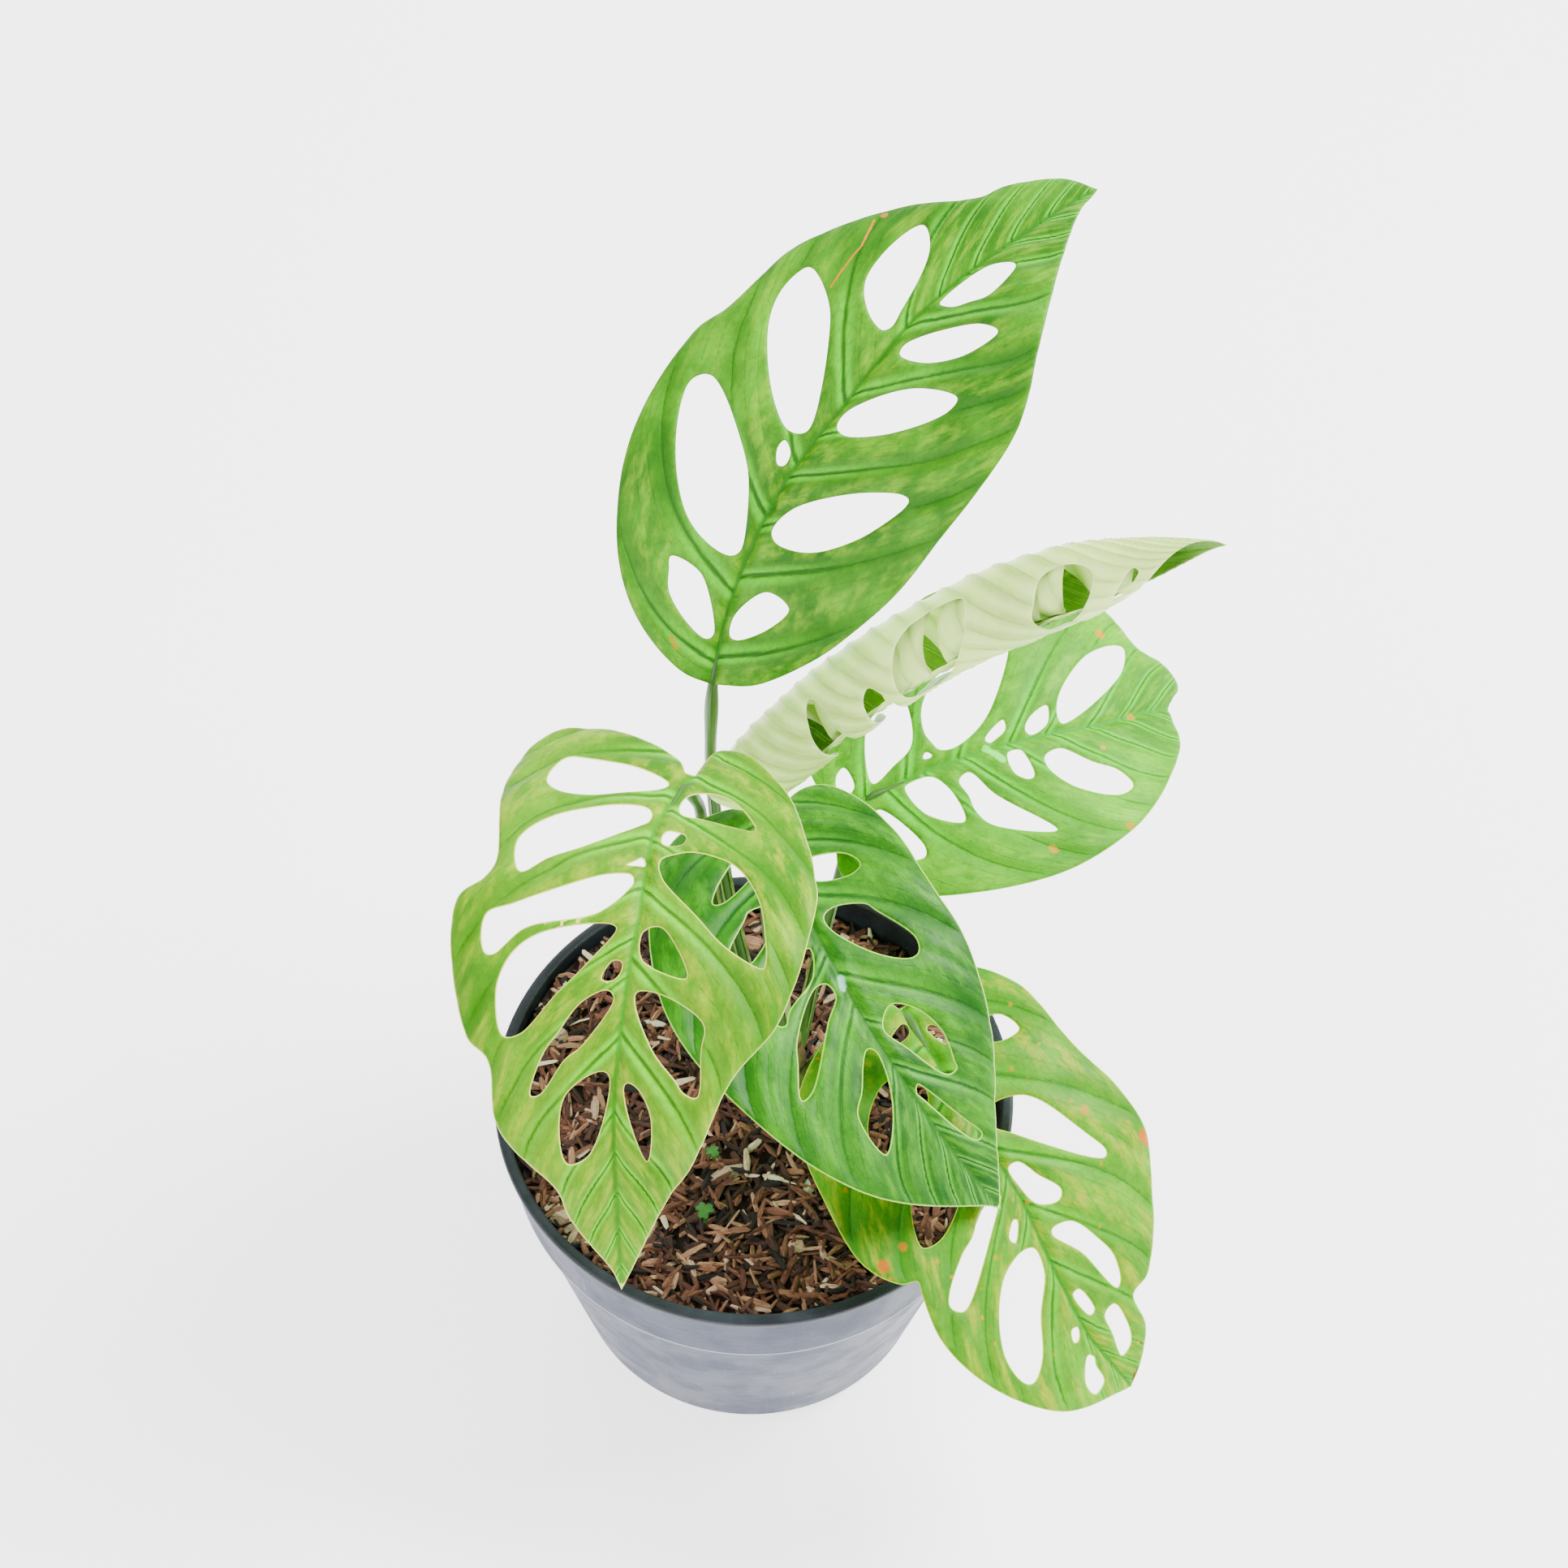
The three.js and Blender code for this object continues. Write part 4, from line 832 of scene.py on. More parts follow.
class Shading:
    """A shader tree with short ways to add its nodes."""

    def __init__(self, tree):
        self.tree = tree
        self.link = tree.links.new

    def node(self, kind, inputs=None, **settings):
        made = self.tree.nodes.new("ShaderNode" + kind)
        for key, value in settings.items():
            setattr(made, key, value)
        for key, value in (inputs or {}).items():
            if isinstance(value, bpy.types.NodeSocket):
                self.link(value, made.inputs[key])
            else:
                made.inputs[key].default_value = value
        return made

    def math(self, operation, a, b=0.0, clamp=False):
        return self.node("Math", {0: a, 1: b}, operation=operation, use_clamp=clamp).outputs[0]

    def times(self, a, b):
        return self.math("MULTIPLY", a, b)

    def plus(self, a, b, clamp=False):
        return self.math("ADD", a, b, clamp)

    def minus(self, a, b):
        return self.math("SUBTRACT", a, b)

    def opposite(self, mask):
        return self.minus(1.0, mask)

    def vector(self, operation, a, b=(0, 0, 0)):
        return self.node("VectorMath", {0: a, 1: b}, operation=operation).outputs

    def scaled(self, vector, scale):
        return self.node("VectorMath", {0: vector, "Scale": scale}, operation="SCALE").outputs[0]

    def join(self, *parts):
        return self.node("CombineXYZ", dict(enumerate(parts))).outputs[0]

    def mix(self, factor, a, b, blend="MIX"):
        inputs = {"Factor": factor, 6: a, 7: b}
        return self.node("Mix", inputs, data_type="RGBA", blend_type=blend).outputs[2]

    def tint(self, base, mask, amount, code):
        """The base colour, mixed towards another one where the mask is high."""
        return self.mix(self.times(mask, amount), base, hue(code))

    def step(self, value, low, high):
        """A smooth rise from 0 to 1 between two values."""
        inputs = {"Value": value, "From Min": low, "From Max": high}
        return self.node("MapRange", inputs, interpolation_type="SMOOTHSTEP").outputs[0]

    def noise(self, vector, scale, detail=3.0, roughness=0.55):
        inputs = {"Vector": vector, "Scale": scale, "Detail": detail, "Roughness": roughness}
        return self.node("TexNoise", inputs).outputs["Fac"]

    def attribute(self, name):
        """A vector attribute of the mesh."""
        return self.node("Attribute", attribute_name=name).outputs["Vector"]

    def parts(self, name):
        """The three numbers of a vector attribute of the mesh."""
        return list(self.node("SeparateXYZ", {0: self.attribute(name)}).outputs)

    def group(self, name, inputs=None):
        return self.node("Group", inputs, node_tree=bpy.data.node_groups[name]).outputs


class Masks(Shading):
    """A node group that gives out masks. An input without a default is a vector."""

    def __init__(self, name, inputs):
        super().__init__(bpy.data.node_groups.new(name, "ShaderNodeTree"))
        for label, default in inputs.items():
            kind = "NodeSocketVector" if default is None else "NodeSocketFloat"
            socket = self.tree.interface.new_socket(label, in_out="INPUT", socket_type=kind)
            if default is not None:
                socket.default_value = default
        self.given = self.tree.nodes.new("NodeGroupInput").outputs

    def give(self, masks):
        for label in masks:
            self.tree.interface.new_socket(label, in_out="OUTPUT", socket_type="NodeSocketFloat")
        result = self.tree.nodes.new("NodeGroupOutput")
        for label, value in masks.items():
            self.link(value, result.inputs[label])


class Surface(Shading):
    """A material with one Principled shader."""

    def __init__(self, name):
        self.material = bpy.data.materials.new(name)
        self.material.use_nodes = True
        super().__init__(self.material.node_tree)
        self.tree.nodes.clear()
        shader = self.node("BsdfPrincipled")
        out = self.node("OutputMaterial")
        self.link(shader.outputs[0], out.inputs[0])
        self.shader = shader.inputs

    def put(self, **values):
        """Sets plain values on the shader's sockets."""
        for key, value in values.items():
            self.shader[key.replace("_", " ")].default_value = value

    def finish(self, base, roughness, height, strength, depth):
        """Links colour, bump, and roughness as a mask, its share and the least value."""
        mask, share, least = roughness
        bump = self.node("Bump", {"Height": height, "Strength": strength, "Distance": depth})
        self.link(base, self.shader["Base Color"])
        self.link(self.plus(self.times(mask, share), least), self.shader["Roughness"])
        self.link(bump.outputs[0], self.shader["Normal"])
        return self.material


def vein_group():
    """Masks of a blade: side veins, midrib, pale rim, and streaks that run between the veins."""
    g = Masks("Leaf veins", {"Vein width": 0.05, "Rim width": 0.45})
    vein_width, rim_width = g.given[0], g.given[1]
    pattern = g.attribute("pattern")
    _, across, rim_gap = g.parts("pattern")
    right_phase, left_phase, underside = g.parts("veins")
    right = g.math("GREATER_THAN", across, 0.0)
    phase = g.plus(g.times(right_phase, right), g.times(left_phase, g.opposite(right)))
    phase = g.plus(phase, g.times(g.minus(g.noise(pattern, 1.1, 2.0), 0.5), 0.05))
    cell = g.math("PINGPONG", phase, 0.5)
    small_cell = g.math("PINGPONG", g.times(phase, 4.0), 0.5)
    reach = g.math("ABSOLUTE", across)
    thin = g.math("DIVIDE", vein_width, g.plus(g.times(reach, 0.45), 0.9))
    vein = g.opposite(g.step(cell, g.times(thin, 0.25), thin))
    patchy = g.step(g.noise(pattern, 0.7, 2.0), 0.4, 0.62)
    minor = g.times(g.opposite(g.step(small_cell, 0.03, 0.1)), patchy)
    shoulder_highlight = g.minus(g.step(cell, 0.02, 0.06), g.step(cell, 0.07, 0.2))
    fade = g.step(rim_gap, 0.3, 3.0)
    # The net and the yellow streaks cross from one side vein to the next.
    crossing = g.join(g.times(phase, 3.4), g.times(reach, 1.9))
    cells = {"Vector": crossing, "Scale": 1.6, "Randomness": 0.9}
    net = g.node("TexVoronoi", cells, feature="DISTANCE_TO_EDGE").outputs["Distance"]
    drawn = g.join(g.times(phase, 3.6), g.times(reach, 2.2), right)
    g.give({
        # The dark vein line is partly the veins' own colour and partly painted shade in their sunken
        # grooves.
        "Vein": g.times(vein, g.plus(g.times(fade, 0.7), 0.3)),
        "Minor": g.times(minor, fade),
        "Midrib": g.opposite(g.step(reach, 0.03, 0.1)),
        "Rim": g.opposite(g.step(rim_gap, 0.15, rim_width)),
        "Between": g.times(cell, 2.0),
        # Where the painted highlight beside the veins lies, fading away from the midrib.
        "Shoulder highlight": g.times(shoulder_highlight, g.opposite(g.step(reach, 0.5, 3.6))),
        "Streak": g.step(g.noise(drawn, 0.9, 3.0, 0.6), 0.4, 0.68),
        "Underside": underside,
        "Fine net": g.step(net, 0.0, 0.12),
        "Groove": g.times(g.opposite(g.step(cell, 0.0, 0.055)), fade),
    })


def mottle_group():
    """Blotches of several sizes, from cloudy patches to fine cells, and scattered spots."""
    g = Masks("Mottling", {"Scale": 1.0, "Spot cover": 0.1, "Spot scale": 70.0})
    place = g.scaled(g.node("TexCoord").outputs["Object"], g.given[0])
    fine = g.noise(place, 620.0, 3.0, 0.6)
    spots = g.node("TexVoronoi", {"Vector": place, "Scale": g.given[2]}, feature="F1").outputs
    shade = g.node("SeparateColor", {0: spots["Color"]}).outputs[0]
    blot = g.opposite(g.step(g.plus(spots["Distance"], g.times(fine, 0.12)), 0.12, 0.3))
    pores = g.node("TexVoronoi", {"Vector": place, "Scale": 1500.0}, feature="F1").outputs
    g.give({
        "Cloud": g.step(g.noise(place, 26.0, 3.0), 0.3, 0.7),
        "Patch": g.step(g.noise(place, 95.0, 4.0, 0.6), 0.35, 0.68),
        "Fine": fine,
        "Spots": g.times(blot, g.math("LESS_THAN", shade, g.given[1])),
        "Pores": pores["Distance"],
    })


def mark_group():
    """How near a blade point is to a line between two places, from 1 on the line to 0 beside it."""
    g = Masks("Mark", {"From": None, "To": None, "Half width": 0.1})
    begin, end, half_width = g.given[0], g.given[1], g.given[2]
    pattern = g.attribute("pattern")
    offset = g.vector("SUBTRACT", g.vector("MULTIPLY", pattern, (1, 1, 0))[0], begin)[0]
    line = g.vector("SUBTRACT", end, begin)[0]
    reached, whole = (g.vector("DOT_PRODUCT", line, other)["Value"] for other in (offset, line))
    along = g.scaled(line, g.math("DIVIDE", reached, whole, True))
    gap = g.vector("LENGTH", g.vector("SUBTRACT", offset, along)[0])["Value"]
    ragged = g.plus(gap, g.times(g.minus(g.noise(pattern, 7.0), 0.5), g.times(half_width, 1.4)))
    g.give({"Mask": g.opposite(g.step(ragged, g.times(half_width, 0.6), half_width))})


def leaf_material(name, look, marks=()):
    """Waxy leaf: cloudy green, darker sunken veins that are partly painted shade in their grooves, a painted
    highlight beside the veins near the midrib, pale rim and a soft sheen; the young blade also gets a
    painted glow.
    """
    g = Surface(name)
    look = {**PLAIN_LOOK, **look}
    out = g.group("Leaf veins", {"Vein width": look["vein_width"], "Rim width": look["rim_width"]})
    spots = {"Scale": 1.0, "Spot cover": look["spots"], "Spot scale": look["spot_scale"]}
    blotch = g.group("Mottling", spots)
    fine = blotch["Fine"]
    base = g.mix(blotch["Cloud"], hue(look["dark"]), hue(look["light"]))
    for mask, amount, colour in (
        (blotch["Patch"], 0.5, "dark"),
        (g.times(out["Streak"], g.step(out["Between"], 0.1, 0.7)), look["warm_amount"], "warm"),
        (g.opposite(out["Between"]), 0.4, "dark"),
        # Painted highlight: a light band beside the veins near the midrib, where the ridges of the sunken
        # veins catch the light.
        (out["Shoulder highlight"], look["shoulder_highlight_amount"], "shoulder_highlight"),
        (g.opposite(out["Fine net"]), 0.2, "vein"),
        (out["Minor"], 0.3, "vein"),
        # The vein colour is partly the veins' own darker green and partly painted shade in their sunken
        # grooves.
        (out["Vein"], look["vein_amount"], "vein"),
        (out["Midrib"], look["midrib_amount"], "midrib_colour"),
        (blotch["Spots"], 0.85, "spot"),
    ):
        base = g.tint(base, mask, amount, look[colour])
    for *line, half_width_cm, code in marks:
        ends = {"From": (*line[:2], 0), "To": (*line[2:], 0), "Half width": half_width_cm}
        base = g.tint(base, g.group("Mark", ends)[0], 0.9, code)
    base = g.tint(base, out["Underside"], look["under_amount"], look["under"])
    base = g.tint(base, out["Rim"], look["rim_amount"], look["rim"])
    base = g.mix(0.22, base, g.node("CombineColor", {0: fine, 1: fine, 2: fine}).outputs[0], "OVERLAY")
    height = g.times(out["Groove"], -0.6)
    for mask, rise in (
        (out["Minor"], -0.3), (out["Fine net"], 0.06), (blotch["Pores"], 0.1), (blotch["Patch"], 0.12),
    ):
        height = g.plus(height, g.times(mask, rise))
    g.put(Specular_IOR_Level=look["specular"], Coat_Weight=look["coat"], Coat_Roughness=0.3)
    if look["glow"]:
        # Painted light: the young blade's outer face glows in bands between its veins, standing for daylight
        # shining through the thin blade and for its glossy highlights.
        band = g.plus(g.times(out["Between"], 0.5), g.times(blotch["Cloud"], 0.5))
        lit = g.mix(g.step(band, 0.25, 0.8), hue("40620E"), hue("D8F08C"))
        g.link(g.mix(out["Underside"], hue("000000"), lit), g.shader["Emission Color"])
        g.put(Emission_Strength=look["glow"])
        g.material.cycles.emission_sampling = "NONE"
    return g.finish(base, (fine, 0.18, look["roughness"]), height, 0.55, 0.0006)


def pot_material(settings):
    """Moulded plastic: dusty blue-grey outside, dark slate inside, with scuffs, fine scratches and a painted
    highlight along the collar step.
    """
    g = Surface("nursery pot plastic")
    inside_or_lip, step_highlight, _ = g.parts("zone")
    mottle = g.group("Mottling", {"Scale": 0.6})
    place = g.node("TexCoord").outputs["Object"]
    stretched = g.node("Mapping", {"Vector": place, "Scale": (1.0, 1.0, 14.0)}).outputs[0]
    streak = g.step(g.noise(stretched, 60.0, 5.0, 0.7), 0.45, 0.75)
    slanted = {"Vector": place, "Rotation": (0.3, 0.5, 0.2), "Scale": (260.0, 260.0, 9.0)}
    scratches = g.step(g.noise(g.node("Mapping", slanted).outputs[0], 1.0, 2.0, 0.8), 0.70, 0.76)
    outer = g.mix(mottle["Cloud"], (*settings.pot_outside, 1), hue("40465C"))
    outer = g.tint(outer, streak, 0.25, "2E3342")
    outer = g.tint(outer, scratches, 0.4, "9BA2B2")
    inner = g.mix(mottle["Patch"], (*settings.pot_inside, 1), hue("30363E"))
    # The light line along the collar step is a painted highlight.
    base = g.tint(g.mix(inside_or_lip, outer, inner), step_highlight, 0.9, "C8CDD9")
    g.put(Specular_IOR_Level=0.22)
    height = g.plus(g.times(mottle["Fine"], 0.5), g.times(streak, 0.6))
    return g.finish(base, (mottle["Patch"], 0.16, 0.36), height, 0.4, 0.0004)


def bark_material():
    """Shredded bark and husk: each chip its own brown, streaked along its grain."""
    g = Surface("bark and husk")
    along, across, _ = g.parts("chip")
    tone, reddish, white = g.parts("tone")
    ramp = g.node("ValToRGB")
    stops = ramp.color_ramp.elements
    while len(stops) < len(BARK_TONES):
        stops.new(0.5)
    for stop, (position, code) in zip(stops, BARK_TONES):
        stop.position, stop.color = position, hue(code)
    grain = g.join(g.times(along, 0.45), g.times(across, 3.6), g.times(tone, 90.0))
    streak = g.noise(grain, 1.0, 5.0, 0.65)
    blotch = g.noise(grain, 0.35, 2.0, 0.5)
    value = g.plus(tone, g.times(g.minus(streak, 0.5), 0.7))
    g.link(g.plus(value, g.times(g.minus(blotch, 0.5), 0.3), True), ramp.inputs[0])
    base = g.tint(ramp.outputs[0], reddish, 0.35, "6E3A26")
    base = g.tint(base, white, 0.8, "E9E4DA")
    return g.finish(base, (streak, 0.35, 0.45), streak, 0.9, 0.0005)


def stalk_material(name, low, high, joint, wing):
    """Waxy green stalk with fine lengthwise lines, a darker joint under the blade and pale sheath wings."""
    g = Surface(name)
    along, around, on_wing = g.parts("run")
    patch = g.group("Mottling", {"Scale": 1.4})["Patch"]
    streak = g.noise(g.join(g.times(along, 6.0), g.times(around, 26.0)), 1.0, 3.0, 0.6)
    base = g.mix(along, hue(low), hue(high))
    base = g.mix(g.step(along, 0.84, 0.97), base, hue(joint))
    base = g.tint(base, g.step(streak, 0.45, 0.7), 0.3, wing)
    base = g.tint(base, patch, 0.25, low)
    base = g.mix(on_wing, base, g.mix(patch, hue(wing), hue("D9E39A")))
    return g.finish(base, (streak, 0.2, 0.3), streak, 0.35, 0.0004)


def stem_material():
    """Short woody crown: green-brown with leaf scars and dry fibres."""
    g = Surface("stem fibre")
    mottle = g.group("Mottling", {"Scale": 1.2})
    rings = g.math("PINGPONG", g.times(g.parts("run")[0], 9.0), 0.5)
    scar = g.opposite(g.step(rings, 0.0, 0.16))
    base = g.mix(mottle["Cloud"], hue("5E7A35"), hue("8A8B4A"))
    base = g.mix(mottle["Patch"], base, hue("6B5231"))
    base = g.tint(base, scar, 0.7, "3B2C1A")
    height = g.plus(mottle["Fine"], g.times(scar, 0.8))
    return g.finish(base, (mottle["Fine"], 0.3, 0.5), height, 0.6, 0.0006)


def seedling_material():
    """Soft clover leaflets with a paler base and fine veins."""
    g = Surface("clover leaflet")
    mottle = g.group("Mottling", {"Scale": 4.0})
    base = g.mix(mottle["Cloud"], hue("1C5A17"), hue("2C7A22"))
    base = g.tint(base, g.opposite(g.parts("run")[0]), 0.5, "4C8C34")
    base = g.tint(base, mottle["Patch"], 0.3, "184E16")
    return g.finish(base, (mottle["Fine"], 0.2, 0.4), mottle["Fine"], 0.3, 0.0002)


# Shapes of the pieces


def pot_radius(z):
    foot = POT_HEIGHT - COLLAR_DROP
    if z < foot:
        return BASE_RADIUS + (COLLAR_RADIUS - COLLAR_STEP - BASE_RADIUS) * z / foot
    return COLLAR_RADIUS + (RIM_RADIUS - LIP_WIDTH - COLLAR_RADIUS) * (z - foot) / COLLAR_DROP


def soil_height(x, y):
    """The mix is level, with a low crown and a bank of chips against the back left of the wall."""
    reach = math.hypot(x, y) / RIM_RADIUS
    bearing = math.degrees(math.atan2(y, x))
    bank = SOIL_BANK * reach**4 * math.exp(-(((bearing - BANK_BEARING) / BANK_SPREAD) ** 2))
    return SOIL_EDGE_HEIGHT + SOIL_CROWN * (1 - reach * reach) + bank


def settle(obj, slot, material, stands_for=None):
    """Puts a finished piece in the object: its material, its body and the node it stands for, which it
    hides; the slot is not used.
    """
    obj.data.materials.clear()
    obj.data.materials.append(material)
    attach(obj, "root")
    if stands_for:
        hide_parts(stands_for)


def pot_object():
    """The pot with its collar, rolled lip, chamfered foot and drain holes."""
    foot, lip, top = POT_HEIGHT - COLLAR_DROP, POT_HEIGHT - LIP_HEIGHT, POT_HEIGHT
    outside = [
        (BASE_RADIUS - BASE_CHAMFER - 1.2, 0), (BASE_RADIUS - BASE_CHAMFER, 0.15), (BASE_RADIUS - 0.9, 0.7),
        (pot_radius(BASE_CHAMFER), BASE_CHAMFER), (pot_radius(BASE_CHAMFER + 1.5), BASE_CHAMFER + 1.5),
    ]
    outside += [(pot_radius(z), z) for z in (*np.linspace(12, foot - 3.5, 10), foot - 1.6)]
    outside += [(COLLAR_RADIUS - COLLAR_STEP, foot - 0.9), (COLLAR_RADIUS - 0.35, foot - 0.35)]
    outside += [(COLLAR_RADIUS, foot + 0.25), (pot_radius(foot + 1.2), foot + 1.2)]
    outside += [(pot_radius(z), z) for z in np.linspace(foot + 4, lip - 1.6, 6)]
    outside += [(pot_radius(lip - 0.3), lip - 0.35)]
    outside += [(RIM_RADIUS - inset, lip + z) for inset, z in ((1.5, 0), (0.5, 0.12), (0.1, 0.5), (0, 1.1))]
    outside += [(RIM_RADIUS - inset, top - z) for inset, z in ((0, 1.0), (0.2, 0.4), (0.7, 0.05), (1.3, 0))]
    mouth = pot_radius(top) - WALL
    inner = [(mouth + 0.7, top), (mouth + 0.15, top - 0.3), (mouth - 0.05, top - 1.0)]
    heights = (110, 104, 96, foot + 1.5, foot - 1.5, 60, 30, 8, FLOOR + 1.2)
    inner += [(pot_radius(z) - WALL, z) for z in heights]
    inner += [(pot_radius(FLOOR) - WALL - 1.2, FLOOR)]
    obj = lathe("pot_body", [(0, 0), *outside, *inner, (0, FLOOR)], 160)
    cutter_mesh = bpy.data.meshes.new("drain cutter")
    shape = bmesh.new()
    for i in range(DRAIN_HOLES):
        angle = 2 * math.pi * (i + 0.5) / DRAIN_HOLES
        place = DRAIN_CIRCLE * MM * math.cos(angle), DRAIN_CIRCLE * MM * math.sin(angle), 0
        bmesh.ops.create_cone(
            shape, cap_ends=True, segments=32, radius1=DRAIN_RADIUS * MM, radius2=DRAIN_RADIUS * MM,
            depth=0.02, matrix=Matrix.Translation(place),
        )
    shape.to_mesh(cutter_mesh)
    shape.free()
    cutter = new_object("drain cutter", cutter_mesh)
    cut = obj.modifiers.new("drain holes", "BOOLEAN")
    cut.object, cut.operation, cut.solver = cutter, "DIFFERENCE", "EXACT"
    graph = bpy.context.evaluated_depsgraph_get()
    finished = bpy.data.meshes.new_from_object(obj.evaluated_get(graph))
    obj.modifiers.clear()
    obj.data = finished
    bpy.data.objects.remove(cutter)
    zone = []
    for vertex in finished.vertices:
        x, y, z = (value / MM for value in vertex.co)
        reach = math.hypot(x, y)
        inside_wall = reach < pot_radius(z) - WALL / 2 and z > FLOOR / 2
        on_top = z > POT_HEIGHT - LIP_HEIGHT + 0.1 and reach > pot_radius(z) - 0.1
        # Painted highlight: a light line along the edge of the collar step.
        on_step = reach > COLLAR_RADIUS - 1 and z < foot + 2
        step_highlight = math.exp(-(((z - foot) / 0.5) ** 2)) if on_step else 0.0
        zone.append((float(inside_wall or on_top), step_highlight, 0.0))
    add_values(finished, "zone", zone)
    return obj


def chip_shape(length, width, thickness, draw):
    """Rings and tips of one split, slightly bowed flake of husk."""
    verts = [(-length / 2, draw.uniform(-0.2, 0.2) * width, 0)]
    bow = draw.uniform(-0.10, 0.22) * length
    blunt = draw.uniform(0.55, 0.95)
    for u, w in ((-0.43, 0.86 * blunt), (0.0, 1.0), (0.41, 0.9 * blunt)):
        lift = bow * (1 - (2 * u) ** 2) * 0.5
        half, rise = width * w / 2, thickness * w / 2
        for y, z in ((-1, -0.35), (-0.25, 1), (0.55, 0.7), (1, -0.4)):
            verts.append((u * length, half * y + draw.uniform(-0.06, 0.06) * width, rise * z + lift))
    verts.append((length / 2, draw.uniform(-0.2, 0.2) * width, 0))
    faces = [(0, 1 + (j + 1) % 4, 1 + j) for j in range(4)]
    for ring in range(2):
        for j in range(4):
            a, b = 1 + ring * 4 + j, 1 + ring * 4 + (j + 1) % 4
            faces.append((a, b, b + 4, a + 4))
    faces += [(9 + j, 9 + (j + 1) % 4, 13) for j in range(4)]
    return np.array(verts), faces


def chip_places(draw, count, lengths, widths, thicknesses, tones, heights):
    """Place, size, turn, tone and whiteness of chips scattered over the mix."""
    for _ in range(count):
        reach = CHIP_SPREAD * math.sqrt(draw.random())
        around = draw.uniform(0, 2 * math.pi)
        size = draw.triangular(*lengths), draw.uniform(*widths), draw.uniform(*thicknesses)
        tone = min(max(draw.gauss(*tones), 0.0), 1.0)
        turn = draw.uniform(0, 360), draw.gauss(0, 14), draw.gauss(0, 22)
        place = reach * math.cos(around), reach * math.sin(around), draw.uniform(*heights)
        yield place, size, turn, tone, 0.0


def chunk_places(draw):
    """The same for the larger pieces."""
    for x, y, length, width, thickness, tone, heading in CHUNKS:
        turn = heading, draw.uniform(-8, 8), draw.uniform(-10, 10)
        yield (x, y, CHUNK_LIFT), (length, width, thickness), turn, min(tone, 0.98), float(tone > 1)


def chips_object(name, draw, pieces):
    """Many loose flakes laid over the mix, each with its own brown."""
    verts, faces, chips, tints = [], [], [], []
    start = 0
    limit = pot_radius(SOIL_EDGE_HEIGHT) - WALL - 0.6
    for (x, y, height), size, turn, tone, white in pieces:
        shape, its_faces = chip_shape(*size, draw)
        turned = Matrix.Identity(3)
        for axis, angle in zip("ZYX", turn):
            turned = turned @ Matrix.Rotation(math.radians(angle), 3, axis)
        placed = shape @ np.array(turned).T + (x, y, soil_height(x, y) + height)
        out = np.hypot(placed[:, 0], placed[:, 1])
        placed[:, :2] *= np.minimum(1, limit / np.maximum(out, 1e-6))[:, None]
        verts.append(placed)
        faces += [tuple(start + v for v in face) for face in its_faces]
        chips.append(shape)
        tints += [(tone, float(draw.random() < REDDISH_SHARE), white)] * len(shape)
        start += len(shape)
    obj = mesh_from(name, np.vstack(verts), faces, smooth=False)
    add_values(obj.data, "chip", np.vstack(chips))
    add_values(obj.data, "tone", tints)
    return obj


def mix_bed_object():
    """The crumbly body of the mix under the chips, dark partly in its own colour and partly as painted shade
    in the gaps between the chips.
    """
    floor, collar = FLOOR + SOIL_GAP, POT_HEIGHT - COLLAR_DROP
    low, middle, high = (pot_radius(z) - WALL - SOIL_GAP for z in (floor, collar, SOIL_EDGE_HEIGHT - 1))
    profile = [(0, floor), (low, floor), (middle - 0.8, collar), (high, SOIL_EDGE_HEIGHT - 1.1)]
    profile += [(r, soil_height(r, 0) - BED_DROP) for r in np.linspace(high - 0.3, 1.2, 44)]
    profile += [(0, soil_height(0, 0) - BED_DROP)]
    obj = lathe("mix_bed", profile, 150)
    for vertex in obj.data.vertices:
        if vertex.co.z > (SOIL_EDGE_HEIGHT - 1.2) * MM:
            x, y, _ = (value / MM for value in vertex.co)
            rough = 1.3 * noise.noise(vertex.co * 260) + 0.7 * noise.noise(vertex.co * 700)
            vertex.co.z = (soil_height(x, y) - BED_DROP + rough) * MM
    places = np.array([tuple(v.co) for v in obj.data.vertices]) / MM
    add_values(obj.data, "chip", places * 1.5)
    # Dark tone: partly the mix's own colour, partly painted shade in the gaps between the chips.
    tones = [(0.16 + 0.16 * noise.noise(v.co * 400), 0.2, 0.0) for v in obj.data.vertices]
    add_values(obj.data, "tone", tones)
    return obj


def run_values(path, sides):
    """Place along a bar and round it, for each of its corners."""
    last = len(path) - 1
    return [(i / last, j / sides, 0.0) for i in range(len(path)) for j in range(sides)]


